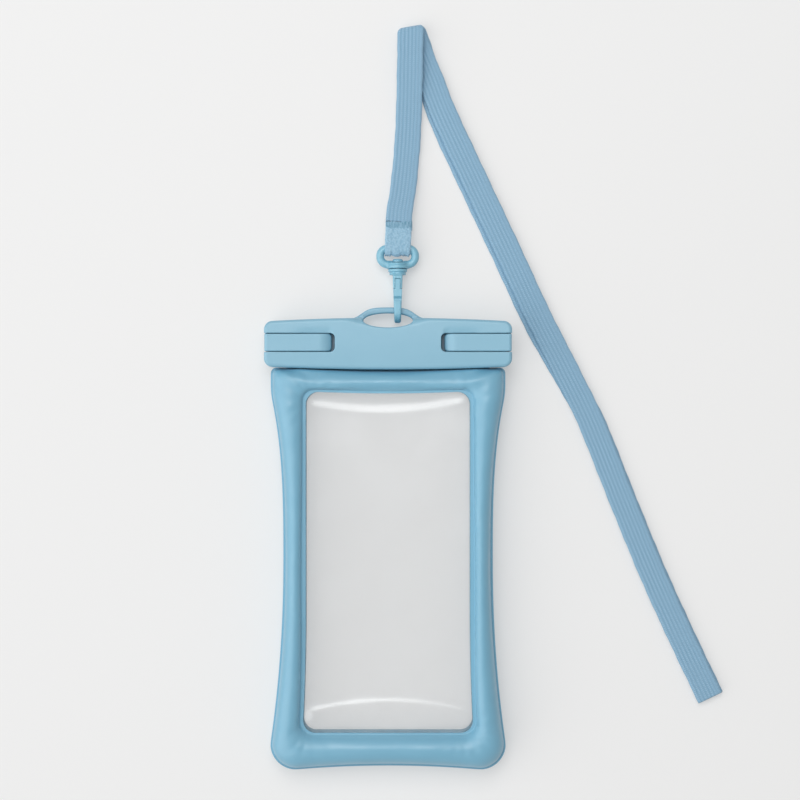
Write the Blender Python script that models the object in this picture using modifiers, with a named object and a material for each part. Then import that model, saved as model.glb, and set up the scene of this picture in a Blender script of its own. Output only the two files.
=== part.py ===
"""Waterproof phone case: a soft air frame with clear windows, a clamp bar with two
flip latches and an eyelet, a swivel snap hook and a flat webbing lanyard.

The case lies on its back. +X is its right, +Y its top, +Z up out of its front.
The origin is on the surface below the middle of the case. Lengths are in metres.
"""

import math

import bmesh
import bpy
import numpy as np
from mathutils import Matrix, Vector

# General clearances
FIT = 0.0003  # between pieces that seat on each other
TINY = 0.0001  # distance under which points are merged
CUT_PAST = 0.003  # how far a cutter reaches past the surface that it opens
SIDES = ((1, "right"), (-1, "left"))

# Case heights
FRAME_MID_Z = 0.0095  # height of the plane where the front and back halves meet
BAR_GAP = 0.0018  # between the two clamp bars

# Clamp bars
BAR_HALF = 0.0580
BAR_MID_Y = 0.0913
BAR_HEIGHT = 0.0212  # at the ends
BAR_TOP_CROWN = 0.0017
BAR_BOTTOM_CROWN = 0.0013
BAR_RADIUS = 0.0038
BAR_DEPTH = 0.0066  # thickness of each bar
BAR_FILLET = 0.0016  # round of the outer edges
SEAL_HALF_X = 0.0495
SEAL_HALF_Y = 0.0022
SEAL_DEPTH = 0.0011
SEAL_BELOW_MID = 0.0035  # seal's centre line below the bar's middle

# Window, pocket and air frame
WINDOW_HALF = 0.0385
WINDOW_FLARE = 0.0012  # how much wider each side is near the bottom
WINDOW_FLARE_Y = -0.0350  # height where the flare starts
WINDOW_FLARE_RUN = 0.0500
WINDOW_BELOW_BAR = 0.0118
WINDOW_ABOVE_EDGE = 0.0183  # from the frame's lower edge to the window
WINDOW_RADIUS = 0.0059
WINDOW_TOP_BOW = 0.0007
POCKET_PAST_SIDE = 0.0035  # how far the pocket reaches past the window
POCKET_PAST_BOTTOM = 0.0030
POCKET_PAST_TOP = 0.0027
POCKET_HALF_Z = 0.0046
POCKET_RADIUS = 0.0020
FILM = 0.0005  # thickness of a window film
FILM_LAP = 0.0021  # how far a film reaches under the flange
FRAME_WAIST_HALF = 0.0492
FRAME_WAIST_Y = -0.0100
FRAME_WAIST_BEND = 2.1  # how late the sides run out below the waist
FRAME_FLARE_BEND = 3.0  # and above it
FRAME_BOTTOM_HALF = 0.0553
FRAME_BOTTOM_Y = -0.1088
FRAME_BOTTOM_HOLLOW = 0.0019  # how far the bottom edge draws in at its middle
FRAME_BOTTOM_RADIUS = 0.0120
FRAME_TOP_HALF = 0.0551
FRAME_FLARE_BELOW_BAR = 0.0127  # where the sides reach their full width
FRAME_TOP_RADIUS = 0.0045
FLANGE = 0.0022  # flat weld round the window
FLANGE_Z = 0.0056  # its height above the middle plane
SEAM = 0.0012  # how far the perimeter seam stands out
SEAM_HALF_Z = 0.0005
CROWN_WAIST = 0.0090  # front of the tube above the middle plane
CROWN_BOTTOM = 0.0100
CROWN_TOP = 0.0084
CROWN_BACK = 0.0100  # back of the tube, which then lies flat on the surface
NECK_HALF_X = 0.0460
NECK_HALF_Z = 0.0006
NECK_SLIT = 0.0003  # between the two lips of the mouth
NECK_BELOW_TOP = 0.0035  # lips end this far below the bar's top edge
NECK_RADIUS = 0.0030

# Eyelet
EYELET_HALF_X = 0.01165
EYELET_HALF_Y = 0.00345
EYELET_OVER_BAR = 0.00056  # its middle above the bar's top edge at the ends
EYELET_THICK = 0.0028
ARCH_RISE = 0.0069  # arch over the bar's top edge
ARCH_FOOT_X = 0.0165
ARCH_FLAT_X = 0.0080
ARCH_FOOT_SINK = 0.0015
ARCH_EDGE = 0.0006  # round of the arch's outer edges

# Latches
LATCH_LENGTH = 0.0314
LATCH_HALF_Y = 0.0041
LATCH_ABOVE_MID = 0.0007
LATCH_THICK = 0.0030
LATCH_LEG = 0.0026
LATCH_ARMPIT = 0.0010  # inner round between the arm and the leg
LATCH_TIP_DROP = 0.0022
LATCH_TIP_RUN = 0.0055
LATCH_BEVEL = 0.0004
LATCH_SIDE = 0.0003  # clearance beside the latch
LATCH_FINGER_GAP = 0.0020
LATCH_SLOT_CORNER = 0.0006
HINGE_IN = 0.0028  # hinge axis in from the bar's end
KNUCKLE_R = 0.0026
LATCH_PIN_R = 0.0010
LATCH_PIN_TOP = 0.0087  # pin's reach above the latch's middle
LATCH_PIN_BOTTOM = 0.0100
PEG_X = 0.0490
PEG_OFF_MID = 0.0055
PEG_R = 0.0013
PEG_DEPTH = 0.0022

# Swivel hook
HOOK_X = 0.0045
SWIVEL_REST = 0.00035  # height of the swivel over the surface
HOOK_LENGTH = 0.0257  # from its bend to the ring's boss
HOOK_BELOW_EYELET = 0.00106  # bend below the eyelet's middle
HOOK_OUTER = 0.0048  # half the hook's depth
HOOK_THICK = 0.0025
HOOK_HALF_X_TOP = 0.00235
HOOK_HALF_X_BOTTOM = 0.00155
HOOK_BEVEL = 0.0004
HOOK_SHOULDER = 0.0030  # length of the slope between the shank and the collar
BOSS_R = 0.00485
BOSS_LENGTH = 0.0027
BOSS_LOW_EDGE = 0.0004
BOSS_TOP_EDGE = 0.0010
RING_WIRE_R = 0.00185
RING_HALF_X = 0.00825  # to the middle of the ring's section
RING_INTO_BOSS = 0.0019
RING_HEIGHT = 0.00755
RING_CORNER = 0.0028  # beside the webbing
RING_LOW_CORNER = 0.0042  # beside the boss
STEM_R = 0.0017
HEAD_R = 0.0025
HEAD_LENGTH = 0.0014
COLLAR_R = 0.00445
COLLAR_LENGTH = 0.0027
COLLAR_STEP = 0.0006
NOSE_RISE = 0.0102  # nose's tip above the bend's lowest point
NOSE_LIP = 0.0008
NOSE_STEP = 0.0013
GATE_RECESS = 0.0024
GATE_PIVOT_RISE = 0.0188  # gate's pivot above the bend's lowest point
GATE_PIVOT_Z = 0.0029
GATE_EYE_R = 0.0015
GATE_EYE_HALF_X = 0.0010
GATE_PIN_R = 0.0006
GATE_TAIL = 0.0007
GATE_TAIL_REACH = 0.0018  # tail's length past the eye
GATE_TAIL_ROOM = 0.0027  # slot's reach above the pivot, where the tail swings
GATE_SLOT_DROP = 0.0045  # slot's reach below the pivot

# Lanyard
WEB_HALF = 0.0061
WEB_THICK = 0.0012
WEB_FLOOR = 0.0003  # height of the lowest strand over the surface
WEB_APART = 0.0003  # between stacked strands
WEB_STEP = 0.0090  # spacing of the strands' cross-sections
SEWN_LENGTH = 0.01325  # from the ring's far bar to the end of the sewn part
SETTLE_RUN = 0.0300  # over which the strands come down from the ring to the surface
CLIMB_Y = 0.1900  # height on the page where they start to rise to the fold
CLIMB_RUN = 0.0340
FOLD_INNER_R = 0.0009  # bend of the inner strand's middle at the fold
FOLD_LEAD = 0.0040  # flat stretch on each side of the fold
FOLD_ROWS = 9
RISING_ROWS = 16
STRAND_SHIFT = 0.0012  # sideways play between the two strands

# Middle line of the lanyard from the ring to the fold, and from the fold to its end
RISING_RUN = [
    (0.0051, 0.1508),
    (0.0055, 0.1550),
    (0.0072, 0.1659),
    (0.0090, 0.1850),
    (0.0099, 0.2034),
    (0.0103, 0.2220),
    (0.0106, 0.2418),
]
FALLING_RUN = [
    (0.0106, 0.2418),
    (0.0186, 0.2200),
    (0.0263, 0.1987),
    (0.0408, 0.1673),
    (0.0556, 0.1358),
    (0.0710, 0.1027),
    (0.0843, 0.0779),
    (0.0962, 0.0548),
    (0.1110, 0.0180),
    (0.1255, -0.0172),
    (0.1395, -0.0480),
    (0.1528, -0.0759),
]

# Worked out from the sizes above
BAR_TOP_Y = BAR_MID_Y + BAR_HEIGHT / 2
BAR_BOTTOM_Y = BAR_MID_Y - BAR_HEIGHT / 2
BAR_BACK_TOP_Z = FRAME_MID_Z - BAR_GAP / 2
BAR_BACK_Z = BAR_BACK_TOP_Z - BAR_DEPTH
BAR_FRONT_BOTTOM_Z = FRAME_MID_Z + BAR_GAP / 2
BAR_FRONT_Z = BAR_FRONT_BOTTOM_Z + BAR_DEPTH
LATCH_Y = BAR_MID_Y + LATCH_ABOVE_MID
LATCH_TOP_Z = BAR_FRONT_Z - TINY
LATCH_UNDER_Z = LATCH_TOP_Z - LATCH_THICK
HINGE_X = BAR_HALF - HINGE_IN
HINGE_Z = BAR_BACK_Z + KNUCKLE_R + 2 * FIT
SWIVEL_Z = BOSS_R + SWIVEL_REST
WINDOW_TOP_Y = BAR_BOTTOM_Y - WINDOW_BELOW_BAR
WINDOW_BOTTOM_Y = FRAME_BOTTOM_Y + WINDOW_ABOVE_EDGE
POCKET_HALF_X = WINDOW_HALF + POCKET_PAST_SIDE
POCKET_BOTTOM_Y = WINDOW_BOTTOM_Y - POCKET_PAST_BOTTOM
POCKET_TOP_Y = WINDOW_TOP_Y + POCKET_PAST_TOP
FRAME_FLARE_Y = BAR_BOTTOM_Y - FRAME_FLARE_BELOW_BAR
NECK_TOP_Y = BAR_TOP_Y - NECK_BELOW_TOP
EYELET_Y = BAR_TOP_Y + EYELET_OVER_BAR
ARCH_TOP_Y = BAR_TOP_Y + ARCH_RISE
HOOK_BOTTOM_Y = EYELET_Y - HOOK_BELOW_EYELET
BOSS_BOTTOM_Y = HOOK_BOTTOM_Y + HOOK_LENGTH
BOSS_TOP_Y = BOSS_BOTTOM_Y + BOSS_LENGTH
NOSE_TIP_Y = HOOK_BOTTOM_Y + NOSE_RISE
GATE_PIVOT_Y = HOOK_BOTTOM_Y + GATE_PIVOT_RISE
RING_BOTTOM_Y = BOSS_BOTTOM_Y + RING_INTO_BOSS
RING_TOP_Y = RING_BOTTOM_Y + RING_HEIGHT
SEWN_Y = RING_TOP_Y + SEWN_LENGTH

PARTS = "waterproof_case"
CUTTERS = "cutters"


def clear_scene():
    """Remove every object of the scene that is open."""
    for item in list(bpy.data.objects):
        bpy.data.objects.remove(item)


def collection(name):
    """Return the collection of this name, made and linked on first use."""
    found = bpy.data.collections.get(name)
    if found is None:
        found = bpy.data.collections.new(name)
        bpy.context.scene.collection.children.link(found)
    return found


def material(name, colour, roughness, metallic=0.0, alpha=1.0):
    """Return a Principled material."""
    made = bpy.data.materials.new(name)
    made.use_nodes = True
    shader = made.node_tree.nodes["Principled BSDF"]
    shader.inputs["Base Color"].default_value = (*colour, 1.0)
    shader.inputs["Roughness"].default_value = roughness
    shader.inputs["Metallic"].default_value = metallic
    shader.inputs["Alpha"].default_value = alpha
    return made


def place(name, mesh, finish=None, parent=None, cutter=False):
    """Make an object from a mesh whose points are in world places."""
    made = bpy.data.objects.new(name, mesh)
    collection(CUTTERS if cutter else PARTS).objects.link(made)
    if finish:
        mesh.materials.append(finish)
    if parent:
        made.parent = parent
        made.matrix_parent_inverse = parent.matrix_world.inverted()
    if cutter:
        made.hide_render = True
        made.display_type = "WIRE"
    return made


def pivot(name, at):
    """Return an empty that stands on a joint's axis."""
    made = bpy.data.objects.new(name, None)
    made.empty_display_size = 0.005
    made.location = at
    collection(PARTS).objects.link(made)
    bpy.context.view_layer.update()
    return made


def mesh_of(name, build, turn=None):
    """Fill a new mesh with build(bm), then turn or move it by a matrix."""
    bm = bmesh.new()
    build(bm)
    if turn is not None:
        bmesh.ops.transform(bm, matrix=turn, verts=bm.verts)
    bmesh.ops.recalc_face_normals(bm, faces=bm.faces)
    mesh = bpy.data.meshes.new(name)
    bm.to_mesh(mesh)
    bm.free()
    return mesh


def face_outward(mesh, weld=0.0):
    """Weld points that are closer than a distance and point every face outward."""
    bm = bmesh.new()
    bm.from_mesh(mesh)
    if weld:
        bmesh.ops.remove_doubles(bm, verts=bm.verts, dist=weld)
    bmesh.ops.recalc_face_normals(bm, faces=bm.faces)
    bm.to_mesh(mesh)
    bm.free()
    return mesh


def plate(name, outlines, low, high, turn=None):
    """Mesh of flat closed outlines (the inner ones are holes) between two heights."""
    curve = bpy.data.curves.new(name, "CURVE")
    curve.dimensions = "2D"
    curve.fill_mode = "BOTH"
    curve.extrude = (high - low) / 2
    for outline in outlines:
        spline = curve.splines.new("POLY")
        spline.points.add(len(outline) - 1)
        for point, (x, y) in zip(spline.points, outline):
            point.co = (x, y, 0.0, 1.0)
        spline.use_cyclic_u = True
    mesh = mesh_of_curve(name, curve)
    lift = Matrix.Translation((0.0, 0.0, (low + high) / 2))
    mesh.transform(turn @ lift if turn is not None else lift)
    return mesh


def mesh_of_curve(name, curve):
    """Evaluate a curve and return it as a mesh with its caps welded on."""
    holder = bpy.data.objects.new(name + "_curve", curve)
    bpy.context.scene.collection.objects.link(holder)
    bpy.context.view_layer.update()
    graph = bpy.context.evaluated_depsgraph_get()
    mesh = bpy.data.meshes.new_from_object(holder.evaluated_get(graph))
    face_outward(mesh, TINY / 100)
    mesh.materials.clear()
    bpy.data.objects.remove(holder)
    return mesh


def box_mesh(name, low, high):
    """Mesh of a box between two corners."""
    size = [b - a for a, b in zip(low, high)]
    middle = [(a + b) / 2 for a, b in zip(low, high)]

    def build(bm):
        bmesh.ops.create_cube(bm, size=1.0)
        bmesh.ops.scale(bm, vec=size, verts=bm.verts)
        bmesh.ops.translate(bm, vec=middle, verts=bm.verts)

    return mesh_of(name, build)


def rod_mesh(name, start, end, radius, sides=24):
    """Mesh of a round rod between two points."""
    along = Vector(end) - Vector(start)
    middle = (Vector(start) + Vector(end)) / 2
    turn = Matrix.Translation(middle) @ along.to_track_quat("Z", "Y").to_matrix().to_4x4()

    def build(bm):
        bmesh.ops.create_cone(
            bm, cap_ends=True, segments=sides, radius1=radius, radius2=radius, depth=along.length
        )

    return mesh_of(name, build, turn)


def boolean(target, cutter, operation="DIFFERENCE"):
    """Cut the target by another object, or join the two."""
    step = target.modifiers.new(cutter.name, "BOOLEAN")
    step.operation = operation
    step.object = cutter
    step.solver = "EXACT"


def soften(target, width, segments=2, angle=40):
    """Round the sharp edges of an object."""
    step = target.modifiers.new("rounded_edges", "BEVEL")
    step.width = width
    step.segments = segments
    step.limit_method = "ANGLE"
    step.angle_limit = math.radians(angle)
    step.use_clamp_overlap = True


def arc(centre, radius, start, end, count):
    """Points of an arc, with its ends, by angles in degrees."""
    return [
        (centre[0] + radius * math.cos(math.radians(a)), centre[1] + radius * math.sin(math.radians(a)))
        for a in np.linspace(start, end, count)
    ]


def ease(share):
    """Smooth step from 0 to 1."""
    share = min(max(share, 0.0), 1.0)
    return share * share * (3 - 2 * share)


def rounded_box_outline(x0, y0, x1, y1, radius, count=4, low_radius=None):
    """Outline of a rectangle with round corners, counter-clockwise."""
    low = radius if low_radius is None else low_radius
    corners = [
        ((x1 - low, y0 + low), low, -90),
        ((x1 - radius, y1 - radius), radius, 0),
        ((x0 + radius, y1 - radius), radius, 90),
        ((x0 + low, y0 + low), low, 180),
    ]
    return [p for centre, r, a in corners for p in arc(centre, r, a, a + 90, count)]


def bar_edges(x):
    """Lower and upper edge of the clamp bar at x."""
    share = 1 - (x / BAR_HALF) ** 2
    return BAR_BOTTOM_Y - BAR_BOTTOM_CROWN * share, BAR_TOP_Y + BAR_TOP_CROWN * share


def bar_outline():
    """Outline of a clamp bar: crowned long edges and round corners."""
    reach = BAR_HALF - BAR_RADIUS
    lower, upper = bar_edges(reach)
    xs = np.linspace(-reach, reach, 17)
    bottom = [(x, bar_edges(x)[0]) for x in xs[1:-1]]
    top = [(x, bar_edges(x)[1]) for x in xs[-2:0:-1]]
    right_low = arc((reach, lower + BAR_RADIUS), BAR_RADIUS, -90, 0, 6)
    right_high = arc((reach, upper - BAR_RADIUS), BAR_RADIUS, 0, 90, 6)
    left_high = [(-x, y) for x, y in reversed(right_high)]
    left_low = [(-x, y) for x, y in reversed(right_low)]
    return bottom + right_low + right_high + top + left_high + left_low


def bar_body(name, low, high, outer, finish):
    """A clamp bar whose outer edge, at height outer, is rounded."""
    mesh = plate(name, [bar_outline()], low, high)
    bm = bmesh.new()
    bm.from_mesh(mesh)
    for height in (low, high):
        cap = [f for f in bm.faces if all(abs(v.co.z - height) < TINY for v in f.verts)]
        bmesh.ops.dissolve_faces(bm, faces=cap)
    rim = [
        e for e in bm.edges
        if all(abs(v.co.z - outer) < TINY for v in e.verts) and len(e.link_faces) == 2
    ]
    bmesh.ops.bevel(
        bm, geom=rim, offset=BAR_FILLET, segments=3, profile=0.5, affect="EDGES", clamp_overlap=True
    )
    bm.to_mesh(mesh)
    bm.free()
    return place(name, mesh, finish)


def eyelet_cutter():
    """The lens-shaped hole through both bars and the arch."""
    outline = [
        (EYELET_HALF_X * math.cos(a), EYELET_Y + EYELET_HALF_Y * math.sin(a))
        for a in np.linspace(0, 2 * math.pi, 40, endpoint=False)
    ]
    mesh = plate("eyelet_hole", [outline], BAR_BACK_Z - CUT_PAST, BAR_FRONT_Z + CUT_PAST)
    return place("eyelet_hole", mesh, cutter=True)


def arch_outline():
    """Outline of the eyelet's arch, whose feet run out along the bar's top edge."""
    top = []
    for x in np.linspace(ARCH_FOOT_X, -ARCH_FOOT_X, 29):
        foot = bar_edges(ARCH_FOOT_X)[1]
        rise = ease((ARCH_FOOT_X - abs(x)) / (ARCH_FOOT_X - ARCH_FLAT_X))
        top.append((x, foot + (ARCH_TOP_Y - foot) * rise))
    sunk = bar_edges(ARCH_FOOT_X)[1] - ARCH_FOOT_SINK
    return top + [(-ARCH_FOOT_X, sunk), (ARCH_FOOT_X, sunk)]


def latch_slot_cutters(side, word):
    """Channel in the front bar and hinge slot in the back bar, at one end."""
    half = LATCH_HALF_Y + LATCH_SIDE
    tip = BAR_HALF - LATCH_LENGTH - LATCH_FINGER_GAP
    leg_room = BAR_HALF - LATCH_LEG - FIT - TINY
    past = BAR_HALF + CUT_PAST
    boxes = {
        "channel": (tip, LATCH_UNDER_Z - FIT, BAR_FRONT_Z + CUT_PAST),
        "leg_notch": (leg_room, BAR_FRONT_BOTTOM_Z - CUT_PAST, BAR_FRONT_Z + 2 * CUT_PAST),
        "hinge_slot": (HINGE_X - KNUCKLE_R - FIT, BAR_BACK_Z - CUT_PAST, BAR_BACK_TOP_Z + CUT_PAST),
    }
    made = {}
    for key, (inner, low, high) in boxes.items():
        x0, x1 = sorted((side * inner, side * past))
        outline = rounded_box_outline(x0, LATCH_Y - half, x1, LATCH_Y + half, LATCH_SLOT_CORNER, 3)
        mesh = plate(key, [outline], low, high)
        made[key] = place(f"{key}_{word}", mesh, cutter=True)
    hole = rod_mesh(
        "pin_hole",
        (side * HINGE_X, LATCH_Y + LATCH_PIN_TOP + FIT, HINGE_Z),
        (side * HINGE_X, BAR_BOTTOM_Y - CUT_PAST, HINGE_Z),
        LATCH_PIN_R + FIT,
    )
    made["pin_hole"] = place(f"pin_hole_{word}", hole, cutter=True)
    return made


def seal_groove(name, low, high):
    """Groove for a seal strip in a bar's inner face."""
    y = BAR_MID_Y - SEAL_BELOW_MID
    x = SEAL_HALF_X + FIT
    outline = rounded_box_outline(-x, y - SEAL_HALF_Y - FIT, x, y + SEAL_HALF_Y + FIT, SEAL_HALF_Y, 5)
    return place(name, plate(name, [outline], low, high), cutter=True)


def seal_strip(name, low, high, finish):
    """Soft strip that presses on the film of the mouth."""
    y = BAR_MID_Y - SEAL_BELOW_MID
    outline = rounded_box_outline(
        -SEAL_HALF_X, y - SEAL_HALF_Y, SEAL_HALF_X, y + SEAL_HALF_Y, SEAL_HALF_Y - FIT, 5
    )
    return place(name, plate(name, [outline], low, high), finish)


def clamp_bars(plastic, seal):
    """The two clamp bars with their seals, pegs, slots and the eyelet."""
    hole = eyelet_cutter()
    back = bar_body("back_bar", BAR_BACK_Z, BAR_BACK_TOP_Z, BAR_BACK_Z, plastic)
    front = bar_body("front_bar", BAR_FRONT_BOTTOM_Z, BAR_FRONT_Z, BAR_FRONT_Z, plastic)

    arch_low = SWIVEL_Z - EYELET_THICK / 2
    arch_mesh = plate("eyelet_arch", [arch_outline()], arch_low, arch_low + EYELET_THICK)
    arch = place("eyelet_arch", arch_mesh, cutter=True)
    soften(arch, ARCH_EDGE, 2, 50)
    boolean(back, arch, "UNION")
    boolean(back, hole)
    boolean(front, hole)

    for side, word in SIDES:
        cuts = latch_slot_cutters(side, word)
        boolean(back, cuts["hinge_slot"])
        boolean(back, cuts["pin_hole"])
        boolean(front, cuts["channel"])
        boolean(front, cuts["leg_notch"])
        peg_at = (side * PEG_X, BAR_MID_Y + PEG_OFF_MID)
        peg_top = BAR_BACK_TOP_Z + BAR_GAP + PEG_DEPTH
        peg_mesh = rod_mesh("peg", (*peg_at, BAR_BACK_TOP_Z - PEG_DEPTH), (*peg_at, peg_top), PEG_R, 16)
        boolean(back, place(f"peg_{word}", peg_mesh, cutter=True), "UNION")
        hole_start = (*peg_at, BAR_FRONT_BOTTOM_Z - PEG_DEPTH)
        peg_hole = rod_mesh("peg_hole", hole_start, (*peg_at, peg_top + FIT), PEG_R + FIT, 16)
        boolean(front, place(f"peg_hole_{word}", peg_hole, cutter=True))

    deep = SEAL_DEPTH + FIT
    boolean(back, seal_groove("seal_groove_back", BAR_BACK_TOP_Z - deep, BAR_BACK_TOP_Z + TINY * 5))
    boolean(
        front, seal_groove("seal_groove_front", BAR_FRONT_BOTTOM_Z - TINY * 5, BAR_FRONT_BOTTOM_Z + deep)
    )
    seal_strip("seal_strip_back", BAR_BACK_TOP_Z - SEAL_DEPTH, BAR_BACK_TOP_Z, seal)
    seal_strip("seal_strip_front", BAR_FRONT_BOTTOM_Z, BAR_FRONT_BOTTOM_Z + SEAL_DEPTH, seal)


def latch_profile():
    """Section of a latch along the bar: arm, leg round the bar's end, hinge knuckle.

    The first value is the distance outward from the case's middle, the second the height.
    """
    tip = BAR_HALF - LATCH_LENGTH
    leg_in = BAR_HALF - LATCH_LEG
    slope = [
        (tip + LATCH_TIP_RUN * s, LATCH_TOP_Z - LATCH_TIP_DROP * (1 - ease(s)))
        for s in np.linspace(0, 1, 6)
    ]
    heel = arc((BAR_HALF - BAR_FILLET, LATCH_TOP_Z - BAR_FILLET), BAR_FILLET, 90, 0, 5)
    turn_out = math.degrees(math.acos(min((BAR_HALF - HINGE_X) / KNUCKLE_R, 1.0)))
    turn_in = math.degrees(math.acos((leg_in - HINGE_X) / KNUCKLE_R))
    knuckle = arc((HINGE_X, HINGE_Z), KNUCKLE_R, turn_out, turn_in - 360, 18)
    armpit = arc((leg_in - LATCH_ARMPIT, LATCH_UNDER_Z - LATCH_ARMPIT), LATCH_ARMPIT, 0, 90, 4)
    return [(tip, LATCH_UNDER_Z), *slope, *heel, *knuckle, *armpit]


def latches(plastic, steel):
    """Both latches and their hinge pins."""
    for side, word in SIDES:
        hinge = pivot(f"latch_{word}_hinge", (side * HINGE_X, LATCH_Y, HINGE_Z))
        stand = Matrix(((side, 0, 0, 0), (0, 0, 1, LATCH_Y), (0, 1, 0, 0), (0, 0, 0, 1)))
        mesh = plate("latch", [latch_profile()], -LATCH_HALF_Y, LATCH_HALF_Y, stand)
        latch = place(f"latch_{word}", face_outward(mesh), plastic, hinge)
        soften(latch, LATCH_BEVEL, 2)
        reach = LATCH_HALF_Y + CUT_PAST
        bore = rod_mesh(
            "latch_bore",
            (side * HINGE_X, LATCH_Y - reach, HINGE_Z),
            (side * HINGE_X, LATCH_Y + reach, HINGE_Z),
            LATCH_PIN_R + FIT,
        )
        boolean(latch, place(f"latch_bore_{word}", bore, cutter=True))
        pin = rod_mesh(
            "latch_pin",
            (side * HINGE_X, LATCH_Y - LATCH_PIN_BOTTOM, HINGE_Z),
            (side * HINGE_X, LATCH_Y + LATCH_PIN_TOP, HINGE_Z),
            LATCH_PIN_R,
        )
        place(f"latch_pin_{word}", pin, steel)


def window_half(y):
    """Half the window's width at a height: a little wider near the bottom."""
    drop = max(0.0, (WINDOW_FLARE_Y - y) / WINDOW_FLARE_RUN)
    return WINDOW_HALF + WINDOW_FLARE * min(drop, 1.0) ** 2


def frame_half(y):
    """Half the frame's width at a height: narrow waist, wide bottom and top."""
    if y < FRAME_WAIST_Y:
        share = (FRAME_WAIST_Y - y) / (FRAME_WAIST_Y - FRAME_BOTTOM_Y - FRAME_BOTTOM_RADIUS)
        return FRAME_WAIST_HALF + (FRAME_BOTTOM_HALF - FRAME_WAIST_HALF) * min(share, 1.0) ** FRAME_WAIST_BEND
    share = (y - FRAME_WAIST_Y) / (FRAME_FLARE_Y - FRAME_WAIST_Y)
    return FRAME_WAIST_HALF + (FRAME_TOP_HALF - FRAME_WAIST_HALF) * min(share, 1.0) ** FRAME_FLARE_BEND


def frame_stations():
    """Pairs of inner and outer plan points round the right half of the frame."""
    low_half, top_half = window_half(WINDOW_BOTTOM_Y), window_half(WINDOW_TOP_Y)
    low_side = WINDOW_BOTTOM_Y + WINDOW_RADIUS
    top_side = WINDOW_TOP_Y - WINDOW_RADIUS
    outer_low = FRAME_BOTTOM_Y + FRAME_BOTTOM_RADIUS
    frame_top = BAR_BOTTOM_Y - FIT - TINY
    outer_top = frame_top - FRAME_TOP_RADIUS
    pairs = []
    for share in (0.0, 0.36, 0.72):
        x_in = share * (low_half - WINDOW_RADIUS)
        x_out = share * (FRAME_BOTTOM_HALF - FRAME_BOTTOM_RADIUS)
        lift = FRAME_BOTTOM_HOLLOW * (1 - share**2)
        pairs.append(((x_in, WINDOW_BOTTOM_Y), (x_out, FRAME_BOTTOM_Y + lift)))
    inner = arc((low_half - WINDOW_RADIUS, low_side), WINDOW_RADIUS, -90, 0, 5)
    centre = (FRAME_BOTTOM_HALF - FRAME_BOTTOM_RADIUS, outer_low)
    pairs += zip(inner, arc(centre, FRAME_BOTTOM_RADIUS, -90, 0, 5))
    for share in (0.1, 0.24, 0.38, 0.52, 0.66, 0.78, 0.9):
        y_in = low_side + share * (top_side - low_side)
        y_out = outer_low + share * (outer_top - outer_low)
        pairs.append(((window_half(y_in), y_in), (frame_half(y_out), y_out)))
    inner = arc((top_half - WINDOW_RADIUS, top_side), WINDOW_RADIUS, 0, 90, 4)
    centre = (FRAME_TOP_HALF - FRAME_TOP_RADIUS, outer_top)
    pairs += zip(inner, arc(centre, FRAME_TOP_RADIUS, 0, 90, 4))
    for share in (0.66, 0.33, 0.0):
        x_in = share * (top_half - WINDOW_RADIUS)
        x_out = share * (FRAME_TOP_HALF - FRAME_TOP_RADIUS)
        dip = 1 - share**2
        pairs.append(((x_in, WINDOW_TOP_Y - WINDOW_TOP_BOW * dip), (x_out, frame_top - BAR_BOTTOM_CROWN * dip)))
    return pairs


def crown_at(y):
    """Height of the tube's front above the middle plane."""
    if y < FRAME_WAIST_Y:
        share = ease((FRAME_WAIST_Y - y) / (FRAME_WAIST_Y - WINDOW_BOTTOM_Y))
        return CROWN_WAIST + (CROWN_BOTTOM - CROWN_WAIST) * share
    share = ease((y - FRAME_FLARE_Y) / (BAR_BOTTOM_Y - FRAME_FLARE_Y))
    return CROWN_WAIST + (CROWN_TOP - CROWN_WAIST) * share


def frame_section(width, crown):
    """Cage of one half of the tube's section: (distance from the window, height, crease)."""
    tube = width - FLANGE - SEAM
    rise = crown - FLANGE_Z
    return [
        (0.0, FLANGE_Z, 1.0),
        (FLANGE, FLANGE_Z, 0.7),
        (FLANGE + 0.04 * tube, FLANGE_Z + 0.55 * rise, 0.0),
        (FLANGE + 0.26 * tube, crown * 1.03, 0.0),
        (FLANGE + 0.62 * tube, crown * 1.05, 0.0),
        (FLANGE + 0.93 * tube, crown * 0.74, 0.0),
        (FLANGE + 1.0 * tube, crown * 0.30, 0.0),
        (width - SEAM, SEAM_HALF_Z, 0.6),
        (width, SEAM_HALF_Z, 0.8),
    ]


def frame_cage():
    """Coarse cage of the frame's right half, open where the Mirror joins it."""
    bm = bmesh.new()
    crease = bm.edges.layers.float.new("crease_edge")
    rings = []
    creases = []
    for (xi, yi), (xo, yo) in frame_stations():
        start = Vector((xi, yi, 0))
        across = Vector((xo, yo, 0)) - start
        width = across.length
        front = frame_section(width, crown_at(yo))
        back = frame_section(width, CROWN_BACK)
        sections = [(s, z, c) for s, z, c in front] + [(s, -z, c) for s, z, c in reversed(back)]
        row = []
        for s, z, _ in sections:
            at = start + across * (s / width)
            row.append(bm.verts.new((at.x, at.y, FRAME_MID_Z + z)))
        rings.append(row)
        creases = [c for _, _, c in sections]
    count = len(creases)
    for low, high in zip(rings, rings[1:]):
        for k in range(count):
            bm.faces.new((low[k], low[(k + 1) % count], high[(k + 1) % count], high[k]))
    bm.edges.ensure_lookup_table()
    for low, high in zip(rings, rings[1:]):
        for k in range(count):
            edge = bm.edges.get((low[k], high[k]))
            edge[crease] = creases[k]
    bmesh.ops.recalc_face_normals(bm, faces=bm.faces)
    mesh = bpy.data.meshes.new("air_frame")
    bm.to_mesh(mesh)
    bm.free()
    return mesh


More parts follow.
